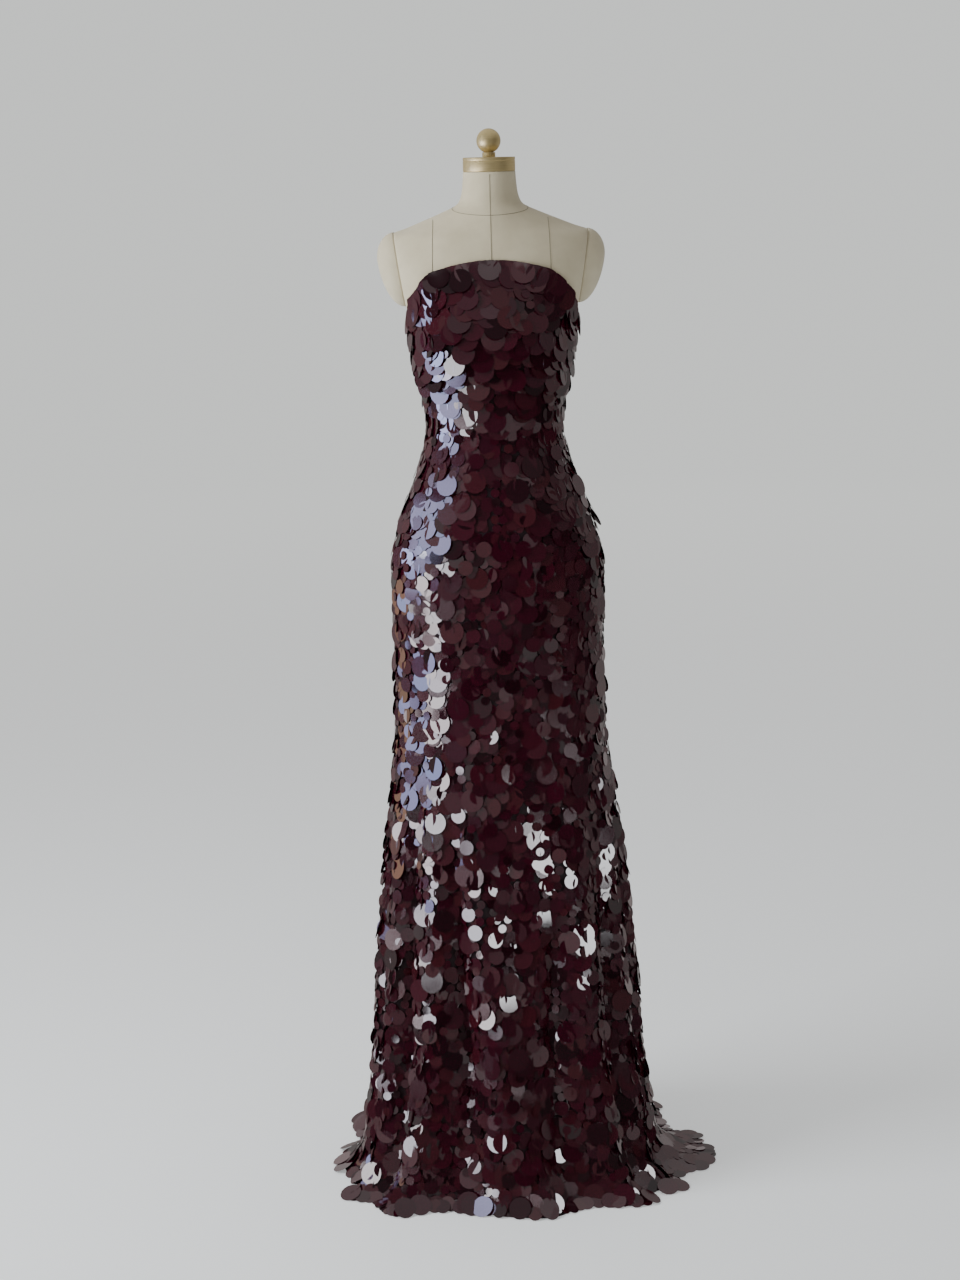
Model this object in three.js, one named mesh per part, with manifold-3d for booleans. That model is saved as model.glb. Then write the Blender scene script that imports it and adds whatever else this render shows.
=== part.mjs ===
// A strapless floor-length evening gown of paillette cloth, worn by a limbless dress form on a stand.
// Millimetres, +Z up, the floor at zero. The front faces -Y, and the origin is under the stand's pole.
import * as THREE from "three";
import { mergeVertices } from "three/addons/utils/BufferGeometryUtils.js";
import Module from "manifold-3d";

const wasm = await Module();
wasm.setup();

const seamGap = 0.3;
const clothWall = 3; // net, its backing and the paillettes that lie flat on it
const clothEase = 0.7; // from the figure out to the inside of the gown
const formEase = 0.6; // from the figure in to the dress form, where the gown covers it
const waistHeight = 1300;
const topHeight = 1553; // of the top edge at centre front
const hemBend = 60; // below this height the cloth turns outwards to lie on the floor

// Outline of the figure under the gown. Above the floor-length skirt it is the dress form itself.
// Half the width, the depths to the front and back, and how square the section is (2 is an ellipse).
const figure = [
  { height: 1700, half: 41, front: 41, back: 41, square: 2 },
  { height: 1668, half: 43, front: 43, back: 44, square: 2 },
  { height: 1648, half: 46.5, front: 45, back: 48, square: 2 },
  { height: 1636, half: 54, front: 49, back: 54, square: 1.95 },
  { height: 1626, half: 75, front: 57, back: 63, square: 1.75 },
  { height: 1614, half: 104, front: 66, back: 72, square: 1.65 },
  { height: 1602, half: 134, front: 73, back: 79, square: 1.7 },
  { height: 1590, half: 168, front: 79, back: 84, square: 1.85 },
  { height: 1570, half: 179, front: 85, back: 88, square: 2 },
  { height: 1540, half: 173, front: 93, back: 92, square: 2.1 },
  { height: 1505, half: 151, front: 103, back: 94, square: 2.2 },
  { height: 1470, half: 135, front: 112, back: 93, square: 2.3 },
  { height: 1432, half: 129, front: 116, back: 90, square: 2.35 },
  { height: 1390, half: 122, front: 109, back: 84, square: 2.3 },
  { height: 1345, half: 111, front: 96, back: 77, square: 2.2 },
  { height: 1300, half: 105, front: 87, back: 72, square: 2.15 },
  { height: 1260, half: 109, front: 88, back: 76, square: 2.15 },
  { height: 1200, half: 127, front: 97, back: 93, square: 2.2 },
  { height: 1130, half: 153, front: 106, back: 114, square: 2.2 },
  { height: 1068, half: 166, front: 109, back: 122, square: 2.2 },
  { height: 1000, half: 168, front: 108, back: 119, square: 2.2 },
  { height: 920, half: 167, front: 107, back: 113, square: 2.15 },
  { height: 840, half: 168, front: 108, back: 112, square: 2.1 },
  { height: 760, half: 171, front: 111, back: 115, square: 2.1 },
  { height: 660, half: 180, front: 118, back: 124, square: 2.1 },
  { height: 560, half: 190, front: 127, back: 136, square: 2.1 },
  { height: 460, half: 197, front: 135, back: 150, square: 2.1 },
  { height: 360, half: 203, front: 142, back: 167, square: 2.1 },
  { height: 260, half: 207, front: 148, back: 187, square: 2.1 },
  { height: 170, half: 212, front: 153, back: 210, square: 2.3 },
  { height: 100, half: 218, front: 158, back: 234, square: 2.45 },
  { height: 60, half: 222, front: 161, back: 252, square: 2.6 },
  { height: 0, half: 228, front: 166, back: 280, square: 2.8 },
];

// The two cups shaped by the bodice's seams: their place, how far they stand out, and how far they spread.
const cups = { angle: 29, height: 1436, rise: 8, angleSpread: 19, heightSpread: 46 };

// Height of the strapless top edge round the body. Angles are degrees from centre front towards +X.
const topEdge = [
  { angle: -180, height: 1449 },
  { angle: -150, height: 1449 },
  { angle: -120, height: 1452 },
  { angle: -90, height: 1461 },
  { angle: -72, height: 1475 },
  { angle: -60, height: 1492 },
  { angle: -45, height: 1516 },
  { angle: -28, height: 1539 },
  { angle: 0, height: topHeight },
  { angle: 28, height: 1539 },
  { angle: 45, height: 1516 },
  { angle: 60, height: 1492 },
  { angle: 72, height: 1475 },
  { angle: 90, height: 1461 },
  { angle: 120, height: 1452 },
  { angle: 150, height: 1449 },
];

// How far the hem lies out over the floor. It sweeps to the back, and in a tongue to the +X side.
const hemReach = [
  { angle: -180, reach: 96 },
  { angle: -150, reach: 78 },
  { angle: -120, reach: 42 },
  { angle: -95, reach: 34 },
  { angle: -70, reach: 38 },
  { angle: -42, reach: 42 },
  { angle: -20, reach: 26 },
  { angle: 10, reach: 26 },
  { angle: 40, reach: 32 },
  { angle: 60, reach: 40 },
  { angle: 74, reach: 56 },
  { angle: 90, reach: 84 },
  { angle: 106, reach: 58 },
  { angle: 125, reach: 48 },
  { angle: 150, reach: 76 },
];

// The skirt's flutes: angle where each begins and at the hem, half its width in degrees,
// how far it stands out at the hem, and the height where it begins.
const flutes = [
  { begin: -18, hem: 5, half: 14, depth: 29, start: 800 },
  { begin: 31, hem: 41, half: 16, depth: 31, start: 780 },
  { begin: 61, hem: 67, half: 13, depth: 24, start: 700 },
  { begin: 90, hem: 94, half: 14, depth: 28, start: 800 },
  { begin: 122, hem: 123, half: 16, depth: 33, start: 740 },
  { begin: 153, hem: 152, half: 16, depth: 36, start: 820 },
  { begin: 183, hem: 182, half: 16, depth: 38, start: 760 },
  { begin: 214, hem: 213, half: 16, depth: 34, start: 800 },
  { begin: 244, hem: 242, half: 15, depth: 31, start: 720 },
  { begin: 271, hem: 268, half: 14, depth: 27, start: 780 },
  { begin: 298, hem: 295, half: 13, depth: 27, start: 700 },
  { begin: 324, hem: 324, half: 15, depth: 30, start: 780 },
];
const fluteGrowth = 1.15; // how a flute deepens towards the hem: 1 would be evenly
const hemSpread = 1.5; // how the hem's reach grows along the cloth that bends to the floor

// The gown's panels, named as the wearer has them: the wearer's left is +X.
const panels = [
  { name: "gown_centre_front", from: -24, to: 24, steps: 10 },
  { name: "gown_side_front_left", from: 24, to: 92, steps: 13 },
  { name: "gown_side_back_left", from: 92, to: 148, steps: 11 },
  { name: "gown_centre_back_left", from: 148, to: 180, steps: 7 },
  { name: "gown_centre_back_right", from: -180, to: -148, steps: 7 },
  { name: "gown_side_back_right", from: -148, to: -92, steps: 11 },
  { name: "gown_side_front_right", from: -92, to: -24, steps: 13 },
];

// Levels of the rows down the cloth. Above the waist they follow the top edge, and below the hem's bend
// they run out along the floor.
const bodiceLevels = [topHeight, 1496, 1434, 1368];
const skirtLevels = [
  waistHeight, 1240, 1180, 1115, 1060, 965, 870, 780, 690, 600, 510, 420, 330, 240, 165, 105,
];
const hemLevels = [hemBend, 42, 26, 12, 0];
const clothLevels = [...bodiceLevels, ...skirtLevels, ...hemLevels];

const form = {
  bottom: 960,
  collarRows: [0.35, 0.7], // shares of the way from the gown's top edge to the shoulder rows
  shoulderRows: [1574, 1590, 1599, 1606, 1613, 1620, 1628, 1636, 1645, 1662, 1687.7],
};
const armhole = { tip: 154, tipHeight: 1592, foot: 137, footHeight: 1476 }; // a flat cut on each side
const shoulderCap = { bulge: 33, up: 43, down: 76, halfDepth: 47, centre: 1554 };
const neckCap = { radius: 41.5, bottom: 1688, top: 1710, chamfer: 1.2 };
const finial = { collarRadius: 10.4, collarHeight: 7.4, ballRadius: 19.2, seat: 7 };
const pole = { radius: 16, socketRadius: 16.3, bottom: 20.3, top: 953.7 };
const flange = { radius: 48, neckRadius: 22, bottom: 938, top: 959.7, socketTop: 954 };
const foot = { radius: 140, edge: 8, rise: 13, hubRadius: 30, hubTop: 56, socketBottom: 20 };

const zip = { bottomLevel: 1115, halfWidth: 1.7, panelEdge: 2.05, sink: 0.4 };
const slider = {
  level: 1541, width: 7, foot: 4.6, length: 10, thick: 2.2,
  earGap: 3.2, ear: 1, earLong: 3, earTop: 1.3, pin: 0.6,
};
const pull = {
  pivot: 2.2, knuckle: 1.7, eye: 0.95, neck: 2.6, thick: 1.2, width: 4.8, start: 3.2, length: 23,
};

const degree = Math.PI / 180;

// A smooth curve through a table: cubic pieces whose slopes come from the neighbouring rows.
function smoothValue(rows, by, key, at) {
  const upwards = rows[0][by] < rows[rows.length - 1][by] ? rows : [...rows].reverse();
  const last = upwards.length - 1;
  if (at <= upwards[0][by]) return upwards[0][key];
  if (at >= upwards[last][by]) return upwards[last][key];
  const i = upwards.findIndex((row) => row[by] > at) - 1;
  const slope = (k) => {
    const [a, b] = [upwards[Math.max(k - 1, 0)], upwards[Math.min(k + 1, last)]];
    return (b[key] - a[key]) / (b[by] - a[by]);
  };
  const [low, high] = [upwards[i], upwards[i + 1]];
  const span = high[by] - low[by];
  const t = (at - low[by]) / span;
  return (
    low[key] * (1 + 2 * t) * (1 - t) ** 2 +
    high[key] * t * t * (3 - 2 * t) +
    span * t * (1 - t) * (slope(i) * (1 - t) - slope(i + 1) * t)
  );
}

// The same curve for a table that closes on itself after a full turn.
function roundValue(rows, key, angle) {
  const turned = (by) => rows.map((row) => ({ ...row, angle: row.angle + by }));
  const wrapped = ((((angle + 180) % 360) + 360) % 360) - 180;
  return smoothValue([...turned(-360), ...rows, ...turned(360)], "angle", key, wrapped);
}

const signedPower = (value, power) => Math.sign(value) * Math.abs(value) ** power;

// A point of the figure, and how far out a point of the gown stands from it.
function figurePoint(angle, height, outwards = 0) {
  const value = (key) => smoothValue(figure, "height", key, height);
  const power = 2 / value("square");
  const [side, ahead] = [Math.sin(angle * degree), Math.cos(angle * degree)];
  const depth = ahead > 0 ? value("front") : value("back");
  const point = new THREE.Vector2(
    value("half") * signedPower(side, power),
    -depth * signedPower(ahead, power),
  );
  const cup = (centre) => {
    const aside = ((angle - centre) / cups.angleSpread) ** 2;
    return cups.rise * Math.exp(-aside - ((height - cups.height) / cups.heightSpread) ** 2);
  };
  const rise = outwards + cup(cups.angle) + cup(-cups.angle);
  point.setLength(point.length() + rise);
  return new THREE.Vector3(point.x, point.y, height);
}

// How far the flutes push the cloth out. Each is a rounded ridge that deepens towards the floor.
function fluteDepth(angle, height) {
  return flutes.reduce((sum, flute) => {
    const grown = THREE.MathUtils.clamp((flute.start - height) / flute.start, 0, 1);
    const centre = flute.begin + (flute.hem - flute.begin) * grown;
    const away = Math.abs(((((angle - centre) % 360) + 540) % 360) - 180) / flute.half;
    const ridge = away < 1 ? Math.cos((away * Math.PI) / 2) ** 2 : 0;
    return sum + flute.depth * ridge * grown ** fluteGrowth;
  }, 0);
}

// A point of the gown before its thickness. A level is a height below the waist and above the hem's bend.
function hangingPoint(angle, level) {
  if (level > waistHeight) {
    const share = (level - waistHeight) / (topHeight - waistHeight);
    return figurePoint(angle, waistHeight + share * (roundValue(topEdge, "height", angle) - waistHeight));
  }
  const lying = Math.max(0, (hemBend - level) / hemBend);
  const rest = -clothEase;
  const height = level >= hemBend ? level : rest + (hemBend - rest) * (1 - lying) ** 2;
  const reach = roundValue(hemReach, "reach", angle) * lying ** hemSpread;
  const point = figurePoint(angle, Math.max(height, 0), fluteDepth(angle, height) + reach);
  return point.setZ(height);
}

// The cloth's outward direction, from the slopes round it and down it.
function clothNormal(angle, level) {
  const [turn, drop] = [0.5, 1.5]; // degrees and millimetres to the points on each side
  const [above, below] = [Math.min(level + drop, topHeight), Math.max(level - drop, 0)];
  const round = hangingPoint(angle + turn, level).sub(hangingPoint(angle - turn, level));
  const up = hangingPoint(angle, above).sub(hangingPoint(angle, below));
  return round.cross(up).normalize();
}

// A point of the gown at a distance from the figure. Nothing goes below the floor.
function clothPoint(angle, level, distance) {
  const point = hangingPoint(angle, level).addScaledVector(clothNormal(angle, level), distance);
  return point.setZ(Math.max(point.z, 0));
}

// Millimetres of cloth for each degree round the gown.
const clothPerDegree = (angle, level) =>
  hangingPoint(angle + 0.5, level).distanceTo(hangingPoint(angle - 0.5, level));

// A closed wall between two grids of points, rows by columns, with strips round its four edges.
function wallGeometry(outer, inner) {
  const [rows, columns] = [outer.length, outer[0].length];
  const points = [...outer.flat(), ...inner.flat()];
  const at = (side, i, j) => side * rows * columns + i * columns + j;
  const faces = [];
  const quad = (a, b, c, d) => faces.push(a, b, c, a, c, d);
  for (let i = 0; i < rows - 1; i++)
    for (let j = 0; j < columns - 1; j++) {
      quad(at(0, i, j), at(0, i + 1, j), at(0, i + 1, j + 1), at(0, i, j + 1));
      quad(at(1, i, j), at(1, i, j + 1), at(1, i + 1, j + 1), at(1, i + 1, j));
    }
  for (let j = 0; j < columns - 1; j++) {
    quad(at(0, 0, j), at(0, 0, j + 1), at(1, 0, j + 1), at(1, 0, j));
    quad(at(0, rows - 1, j + 1), at(0, rows - 1, j), at(1, rows - 1, j), at(1, rows - 1, j + 1));
  }
  for (let i = 0; i < rows - 1; i++) {
    quad(at(0, i + 1, 0), at(0, i, 0), at(1, i, 0), at(1, i + 1, 0));
    quad(at(0, i + 1, columns - 1), at(1, i + 1, columns - 1), at(1, i, columns - 1), at(0, i, columns - 1));
  }
  return indexedGeometry(points, faces);
}

function indexedGeometry(points, faces) {
  const geometry = new THREE.BufferGeometry().setFromPoints(points);
  geometry.setIndex(faces);
  return geometry;
}

const evenAngles = ({ from, to, steps }) =>
  Array.from({ length: steps + 1 }, (_, j) => from + ((to - from) * j) / steps);

// Angles of a panel's columns. Its edges stop short of the seam, and of the zip at centre back.
function panelAngles(panel, level) {
  const angles = evenAngles(panel);
  const short = (angle) => {
    const besideZip = Math.abs(angle) === 180 && level >= zip.bottomLevel;
    return (besideZip ? zip.panelEdge : seamGap / 2) / clothPerDegree(angle, level);
  };
  angles[0] += short(panel.from);
  angles[panel.steps] -= short(panel.to);
  return angles;
}

function gownPanel(panel) {
  const grid = (distance) =>
    clothLevels.map((level) => panelAngles(panel, level).map((angle) => clothPoint(angle, level, distance)));
  return wallGeometry(grid(clothEase + clothWall), grid(clothEase));
}

// The closed zip: a narrow coil that fills the slit at centre back.
function zipCoil() {
  const levels = clothLevels.filter((level) => level >= zip.bottomLevel);
  const grid = (distance) =>
    levels.map((level) => {
      const middle = clothPoint(180, level, distance);
      return [1, -1].map((side) => new THREE.Vector3(side * zip.halfWidth, middle.y, middle.z));
    });
  return wallGeometry(grid(clothEase + clothWall - zip.sink), grid(clothEase + zip.sink));
}

// A solid of stacked rings, closed by a fan at each end. The last fan may rise to a tip.
function stackedRings(rings, tip) {
  const count = rings[0].length;
  const points = rings.flat();
  const faces = [];
  rings.slice(1).forEach((_, i) => {
    for (let j = 0; j < count; j++) {
      const [a, b] = [i * count + j, i * count + ((j + 1) % count)];
      faces.push(a, b, a + count, b, b + count, a + count);
    }
  });
  const middle = (ring) =>
    ring.reduce((sum, point) => sum.add(point), new THREE.Vector3()).divideScalar(count);
  const [bottom, top] = [points.length, points.length + 1];
  const above = (rings.length - 1) * count;
  for (let j = 0; j < count; j++) {
    const next = (j + 1) % count;
    faces.push(bottom, next, j, top, above + j, above + next);
  }
  return indexedGeometry([...points, middle(rings[0]), tip ?? middle(rings[rings.length - 1])], faces);
}

function solidFrom(geometry) {
  const bare = geometry.clone();
  bare.deleteAttribute("normal");
  bare.deleteAttribute("uv");
  const merged = mergeVertices(bare, 1e-4);
  return new wasm.Manifold(
    new wasm.Mesh({
      numProp: 3,
      vertProperties: new Float32Array(merged.attributes.position.array),
      triVerts: new Uint32Array(merged.index.array),
    }),
  );
}

function geometryFrom(solid) {
  const { vertProperties, triVerts } = solid.getMesh();
  return new THREE.BufferGeometry()
    .setAttribute("position", new THREE.BufferAttribute(new Float32Array(vertProperties), 3))
    .setIndex(new THREE.BufferAttribute(new Uint32Array(triVerts), 1));
}

// The flat cut at each armhole leans in towards the underarm.
const armholeLean = Math.atan2(armhole.tip - armhole.foot, armhole.tipHeight - armhole.footHeight);
const armholeAt = (height) => armhole.foot + (height - armhole.footHeight) * Math.tan(armholeLean);

// The dress form's torso and neck, in one padded piece, with flat armhole plates.
function formTorso() {
  const angles = panels.flatMap((panel) => evenAngles(panel).slice(1));
  const columns = angles.sort((a, b) => a - b).filter((_, j) => j % 2 === 0);
  const worn = clothLevels.filter((level) => level > form.bottom).reverse();
  const ring = (place) => columns.map(place);
  const edge = (angle) => roundValue(topEdge, "height", angle);
  const rings = [
    ring((angle) => figurePoint(angle, form.bottom)),
    ...worn.map((level) => ring((angle) => clothPoint(angle, level, -formEase))),
    ...form.collarRows.map((share) =>
      ring((angle) => figurePoint(angle, edge(angle) + share * (form.shoulderRows[0] - edge(angle)))),
    ),
    ...form.shoulderRows.map((height) => ring((angle) => figurePoint(angle, height))),
  ];
  const cutter = (side) => {
    const [depth, tall, thick] = [300, 240, 80]; // past the form on every side
    const middle = (armhole.tipHeight + armhole.footHeight) / 2;
    const box = new THREE.BoxGeometry(thick, depth, tall);
    box.translate(thick / 2, 0, 0);
    box.rotateY(armholeLean);
    box.translate(armholeAt(middle), 0, middle);
    if (side < 0) box.rotateZ(Math.PI);
    return solidFrom(box);
  };
  return geometryFrom(solidFrom(stackedRings(rings)).subtract(cutter(1)).subtract(cutter(-1)));
}

// The padded cap that closes an armhole: a dome, longer below its fullest point than above.
function shoulderCapGeometry(side) {
  const [across, rows] = [24, 7];
  const rings = Array.from({ length: rows }, (_, i) => {
    const lift = ((i / rows) * Math.PI) / 2;
    return Array.from({ length: across }, (_, j) => {
      const turn = (j / across) * Math.PI * 2;
      const [y, z] = [Math.cos(turn) * Math.cos(lift), Math.sin(turn) * Math.cos(lift)];
      const tall = z > 0 ? shoulderCap.up : shoulderCap.down;
      return new THREE.Vector3(shoulderCap.bulge * Math.sin(lift), shoulderCap.halfDepth * y, tall * z);
    });
  });
  const dome = stackedRings(rings, new THREE.Vector3(shoulderCap.bulge, 0, 0));
  dome.translate(seamGap, 0, 0);
  dome.rotateY(armholeLean);
  dome.translate(armholeAt(shoulderCap.centre), 0, shoulderCap.centre);
  return side > 0 ? dome : dome.rotateZ(Math.PI);
}

// A turned piece from its profile of radius and height pairs, listed anticlockwise from the axis.
function turned(profile, segments) {
  const lathe = new THREE.LatheGeometry(
    profile.map(([radius, height]) => new THREE.Vector2(radius, height)),
    segments,
  );
  return lathe.rotateX(Math.PI / 2);
}

function neckCapGeometry() {
  const { radius, bottom, top, chamfer } = neckCap;
  const profile = [
    [0, bottom], [radius - chamfer, bottom], [radius, bottom + chamfer],
    [radius, top - chamfer], [radius - chamfer, top], [0, top],
  ];
  return turned(profile, 40);
}

// The finial's ball stands on a short collar, which it meets where it is as wide as the seat.
function finialGeometry() {
  const { collarRadius, collarHeight, ballRadius, seat } = finial;
  const bottom = neckCap.top + seamGap;
  const collarTop = bottom + collarHeight;
  const centre = collarTop + Math.sqrt(ballRadius ** 2 - seat ** 2);
  const steps = 12;
  const first = Math.asin(seat / ballRadius);
  const ball = Array.from({ length: steps + 1 }, (_, i) => {
    const turn = first + ((Math.PI - first) * i) / steps;
    return [i === steps ? 0 : ballRadius * Math.sin(turn), centre - ballRadius * Math.cos(turn)];
  });
  return turned([[0, bottom], [collarRadius, bottom], [collarRadius, collarTop], ...ball], 28);
}

function flangeGeometry() {
  const { radius, bottom, top, socketTop, neckRadius } = flange;
  const profile = [
    [0, socketTop], [pole.socketRadius, socketTop], [pole.socketRadius, bottom], [neckRadius, bottom],
    [neckRadius + 2, (bottom + socketTop) / 2], [radius, socketTop - 1], [radius, top], [0, top],
  ];
  return turned(profile, 28);
}

function poleGeometry() {
  const rod = new THREE.CylinderGeometry(pole.radius, pole.radius, pole.top - pole.bottom, 24);
  rod.rotateX(Math.PI / 2);
  return rod.translate(0, 0, (pole.top + pole.bottom) / 2);
}

// A round cast foot: a low cone with a hub that the pole stands in.
function footGeometry() {
  const { radius, edge, rise, hubRadius, hubTop, socketBottom } = foot;
  const chamfer = 2;
  const profile = [
    [0, 0], [radius - chamfer, 0], [radius, chamfer], [radius, edge - chamfer], [radius - chamfer, edge],
    [hubRadius + chamfer, edge + rise], [hubRadius, edge + rise + chamfer], [hubRadius - chamfer, hubTop],
    [pole.socketRadius, hubTop], [pole.socketRadius, socketBottom], [0, socketBottom],
  ];
  return turned(profile, 40);
}

// The slider lies on the outside of the cloth. Its own axes are across, out of the cloth and up it.
const sliderSeat = clothPoint(180, slider.level, clothEase + clothWall).setX(0);
const sliderOut = clothNormal(180, slider.level).setX(0).normalize();
const sliderUp = new THREE.Vector3(0, -sliderOut.z, sliderOut.y);
const sliderTurn = new THREE.Matrix4().makeBasis(new THREE.Vector3(1, 0, 0), sliderOut, sliderUp);
const bodyTop = seamGap + slider.thick;
const pullPivot = sliderSeat.clone().addScaledVector(sliderOut, bodyTop + pull.pivot);

function sliderGeometry() {
  const [half, foot, end] = [slider.width / 2, slider.foot / 2, slider.length / 2];
  const outline = new THREE.Shape(
    [[-foot, -end], [foot, -end], [half, end / 5], [half, end], [-half, end], [-half, end / 5]].map(
      ([x, y]) => new THREE.Vector2(x, y),
    ),
  );
  const body = new THREE.ExtrudeGeometry(outline, { depth: slider.thick, bevelEnabled: false });
  body.rotateX(Math.PI / 2);
  body.translate(0, bodyTop, 0);
  const sunk = slider.thick / 2;
  const earTall = sunk + pull.pivot + slider.earTop;
  const ears = [1, -1].map((side) =>
    new THREE.BoxGeometry(slider.ear, earTall, slider.earLong).translate(
      (side * (slider.earGap + slider.ear)) / 2,
      bodyTop - sunk + earTall / 2,
      0,
    ),
  );
  const pin = new THREE.CylinderGeometry(slider.pin, slider.pin, slider.earGap + slider.ear, 12);
  pin.rotateZ(Math.PI / 2);
  pin.translate(0, bodyTop + pull.pivot, 0);
  const joined = [...ears, pin].reduce((solid, piece) => solid.add(solidFrom(piece)), solidFrom(body));
  const geometry = geometryFrom(joined);
  geometry.applyMatrix4(sliderTurn);
  return geometry.translate(sliderSeat.x, sliderSeat.y, sliderSeat.z);
}

// Points along an arc, both ends included.
function arcPoints(x, y, radius, from, to, steps) {
  return Array.from({ length: steps + 1 }, (_, i) => {
    const turn = from + ((to - from) * i) / steps;
    return new THREE.Vector2(x + radius * Math.cos(turn), y + radius * Math.sin(turn));
  });
}

// The pull tab hangs plumb from the slider's pin: an eye with a neck between the ears, and a flat tab.
function pullGeometry() {
  const half = pull.thick / 2;
  const meets = Math.acos(-half / pull.knuckle);
  const eye = new THREE.Shape([
    new THREE.Vector2(-half, -pull.start - half),
    new THREE.Vector2(half, -pull.start - half),
    ...arcPoints(0, 0, pull.knuckle, meets - Math.PI, 2 * Math.PI - meets, 14),
  ]);
  eye.holes.push(new THREE.Path(arcPoints(0, 0, pull.eye, 0, Math.PI * (2 - 2 / 12), 11)));
  const neck = new THREE.ExtrudeGeometry(eye, { depth: pull.neck, bevelEnabled: false });
  neck.translate(0, 0, -pull.neck / 2);
  const [across, out, up] = [[1, 0, 0], [0, 1, 0], [0, 0, 1]].map((axis) => new THREE.Vector3(...axis));
  neck.applyMatrix4(new THREE.Matrix4().makeBasis(out, up, across));

  const wide = pull.width / 2;
  const outline = new THREE.Shape([
    new THREE.Vector2(wide / 2, -pull.start),
    new THREE.Vector2(-wide / 2, -pull.start),
    new THREE.Vector2(-wide, -pull.start - wide / 2),
    ...arcPoints(0, -pull.length + wide, wide, Math.PI, 2 * Math.PI, 8),
    new THREE.Vector2(wide, -pull.start - wide / 2),
  ]);
  const tab = new THREE.ExtrudeGeometry(outline, { depth: pull.thick, bevelEnabled: false });
  tab.rotateX(Math.PI / 2);
  tab.translate(0, half, 0);
  const geometry = geometryFrom(solidFrom(neck).add(solidFrom(tab)));
  return geometry.translate(pullPivot.x, pullPivot.y, pullPivot.z);
}

const paint = (color, roughness, metalness) =>
  new THREE.MeshStandardMaterial({ color, roughness, metalness });
const materials = {
  paillettes: paint(0x3a0f1a, 0.25, 0),
  zipCoil: paint(0x2a0c14, 0.5, 0),
  zipMetal: paint(0x3b2a2c, 0.35, 0.8),
  linen: paint(0xc9c0a6, 0.9, 0),
  brass: paint(0xa98f4f, 0.32, 1),
  steel: paint(0x2c2b2b, 0.5, 0.6),
};

const group = new THREE.Group();
function add(name, geometry, material) {
  const mesh = new THREE.Mesh(geometry, material);
  mesh.name = name;
  group.add(mesh);
}

panels.forEach((panel) => add(panel.name, gownPanel(panel), materials.paillettes));
add("zip_coil", zipCoil(), materials.zipCoil);
add("zip_slider", sliderGeometry(), materials.zipMetal);
add("zip_pull", pullGeometry(), materials.zipMetal);
add("form_torso", formTorso(), materials.linen);
add("shoulder_cap_left", shoulderCapGeometry(1), materials.linen);
add("shoulder_cap_right", shoulderCapGeometry(-1), materials.linen);
add("neck_cap", neckCapGeometry(), materials.brass);
add("neck_finial", finialGeometry(), materials.brass);
add("form_flange", flangeGeometry(), materials.steel);
add("stand_pole", poleGeometry(), materials.steel);
add("stand_foot", footGeometry(), materials.steel);

export default group;
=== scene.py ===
# An evening gown of dark wine paillettes on a dress form.
import math
import bpy
import numpy as np
from mathutils import Matrix, Vector


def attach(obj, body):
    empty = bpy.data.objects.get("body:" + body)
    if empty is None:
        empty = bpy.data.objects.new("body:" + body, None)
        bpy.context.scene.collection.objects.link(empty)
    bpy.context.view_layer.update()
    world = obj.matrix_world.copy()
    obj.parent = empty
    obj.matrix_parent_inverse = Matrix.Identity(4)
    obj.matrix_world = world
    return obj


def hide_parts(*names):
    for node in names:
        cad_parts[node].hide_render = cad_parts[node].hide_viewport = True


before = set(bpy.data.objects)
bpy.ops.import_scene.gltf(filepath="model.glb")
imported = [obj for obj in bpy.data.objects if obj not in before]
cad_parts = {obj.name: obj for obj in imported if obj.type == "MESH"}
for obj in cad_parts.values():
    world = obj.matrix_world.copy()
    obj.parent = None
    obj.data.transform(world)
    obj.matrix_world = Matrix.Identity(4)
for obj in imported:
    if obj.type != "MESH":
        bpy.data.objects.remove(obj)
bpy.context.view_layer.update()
mainBody = "gown_and_form"
mm = 0.001


# tables of the figure under the gown, in mm: the same sizes as the solids have

figure = {
    "columns": ("height", "half", "front", "back", "square"),
    "rows": [
        (1700, 41, 41, 41, 2), (1668, 43, 43, 44, 2), (1648, 46.5, 45, 48, 2),
        (1636, 54, 49, 54, 1.95), (1626, 75, 57, 63, 1.75), (1614, 104, 66, 72, 1.65),
        (1602, 134, 73, 79, 1.7), (1590, 168, 79, 84, 1.85), (1570, 179, 85, 88, 2),
        (1540, 173, 93, 92, 2.1), (1505, 151, 103, 94, 2.2), (1470, 135, 112, 93, 2.3),
        (1432, 129, 116, 90, 2.35), (1390, 122, 109, 84, 2.3), (1345, 111, 96, 77, 2.2),
        (1300, 105, 87, 72, 2.15), (1260, 109, 88, 76, 2.15), (1200, 127, 97, 93, 2.2),
        (1130, 153, 106, 114, 2.2), (1068, 166, 109, 122, 2.2), (1000, 168, 108, 119, 2.2),
        (920, 167, 107, 113, 2.15), (840, 168, 108, 112, 2.1), (760, 171, 111, 115, 2.1),
        (660, 180, 118, 124, 2.1), (560, 190, 127, 136, 2.1), (460, 197, 135, 150, 2.1),
        (360, 203, 142, 167, 2.1), (260, 207, 148, 187, 2.1), (170, 212, 153, 210, 2.3),
        (100, 218, 158, 234, 2.45), (60, 222, 161, 252, 2.6), (0, 228, 166, 280, 2.8),
    ],
}
topEdge = {
    "columns": ("angle", "height"),
    "rows": [
        (-180, 1449), (-150, 1449), (-120, 1452), (-90, 1461), (-72, 1475), (-60, 1492),
        (-45, 1516), (-28, 1539), (0, 1553), (28, 1539), (45, 1516), (60, 1492),
        (72, 1475), (90, 1461), (120, 1452), (150, 1449),
    ],
}
hemReach = {
    "columns": ("angle", "reach"),
    "rows": [
        (-180, 96), (-150, 78), (-120, 42), (-95, 34), (-70, 38), (-42, 42), (-20, 26), (10, 26),
        (40, 32), (60, 40), (74, 56), (90, 84), (106, 58), (125, 48), (150, 76),
    ],
}
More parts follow.
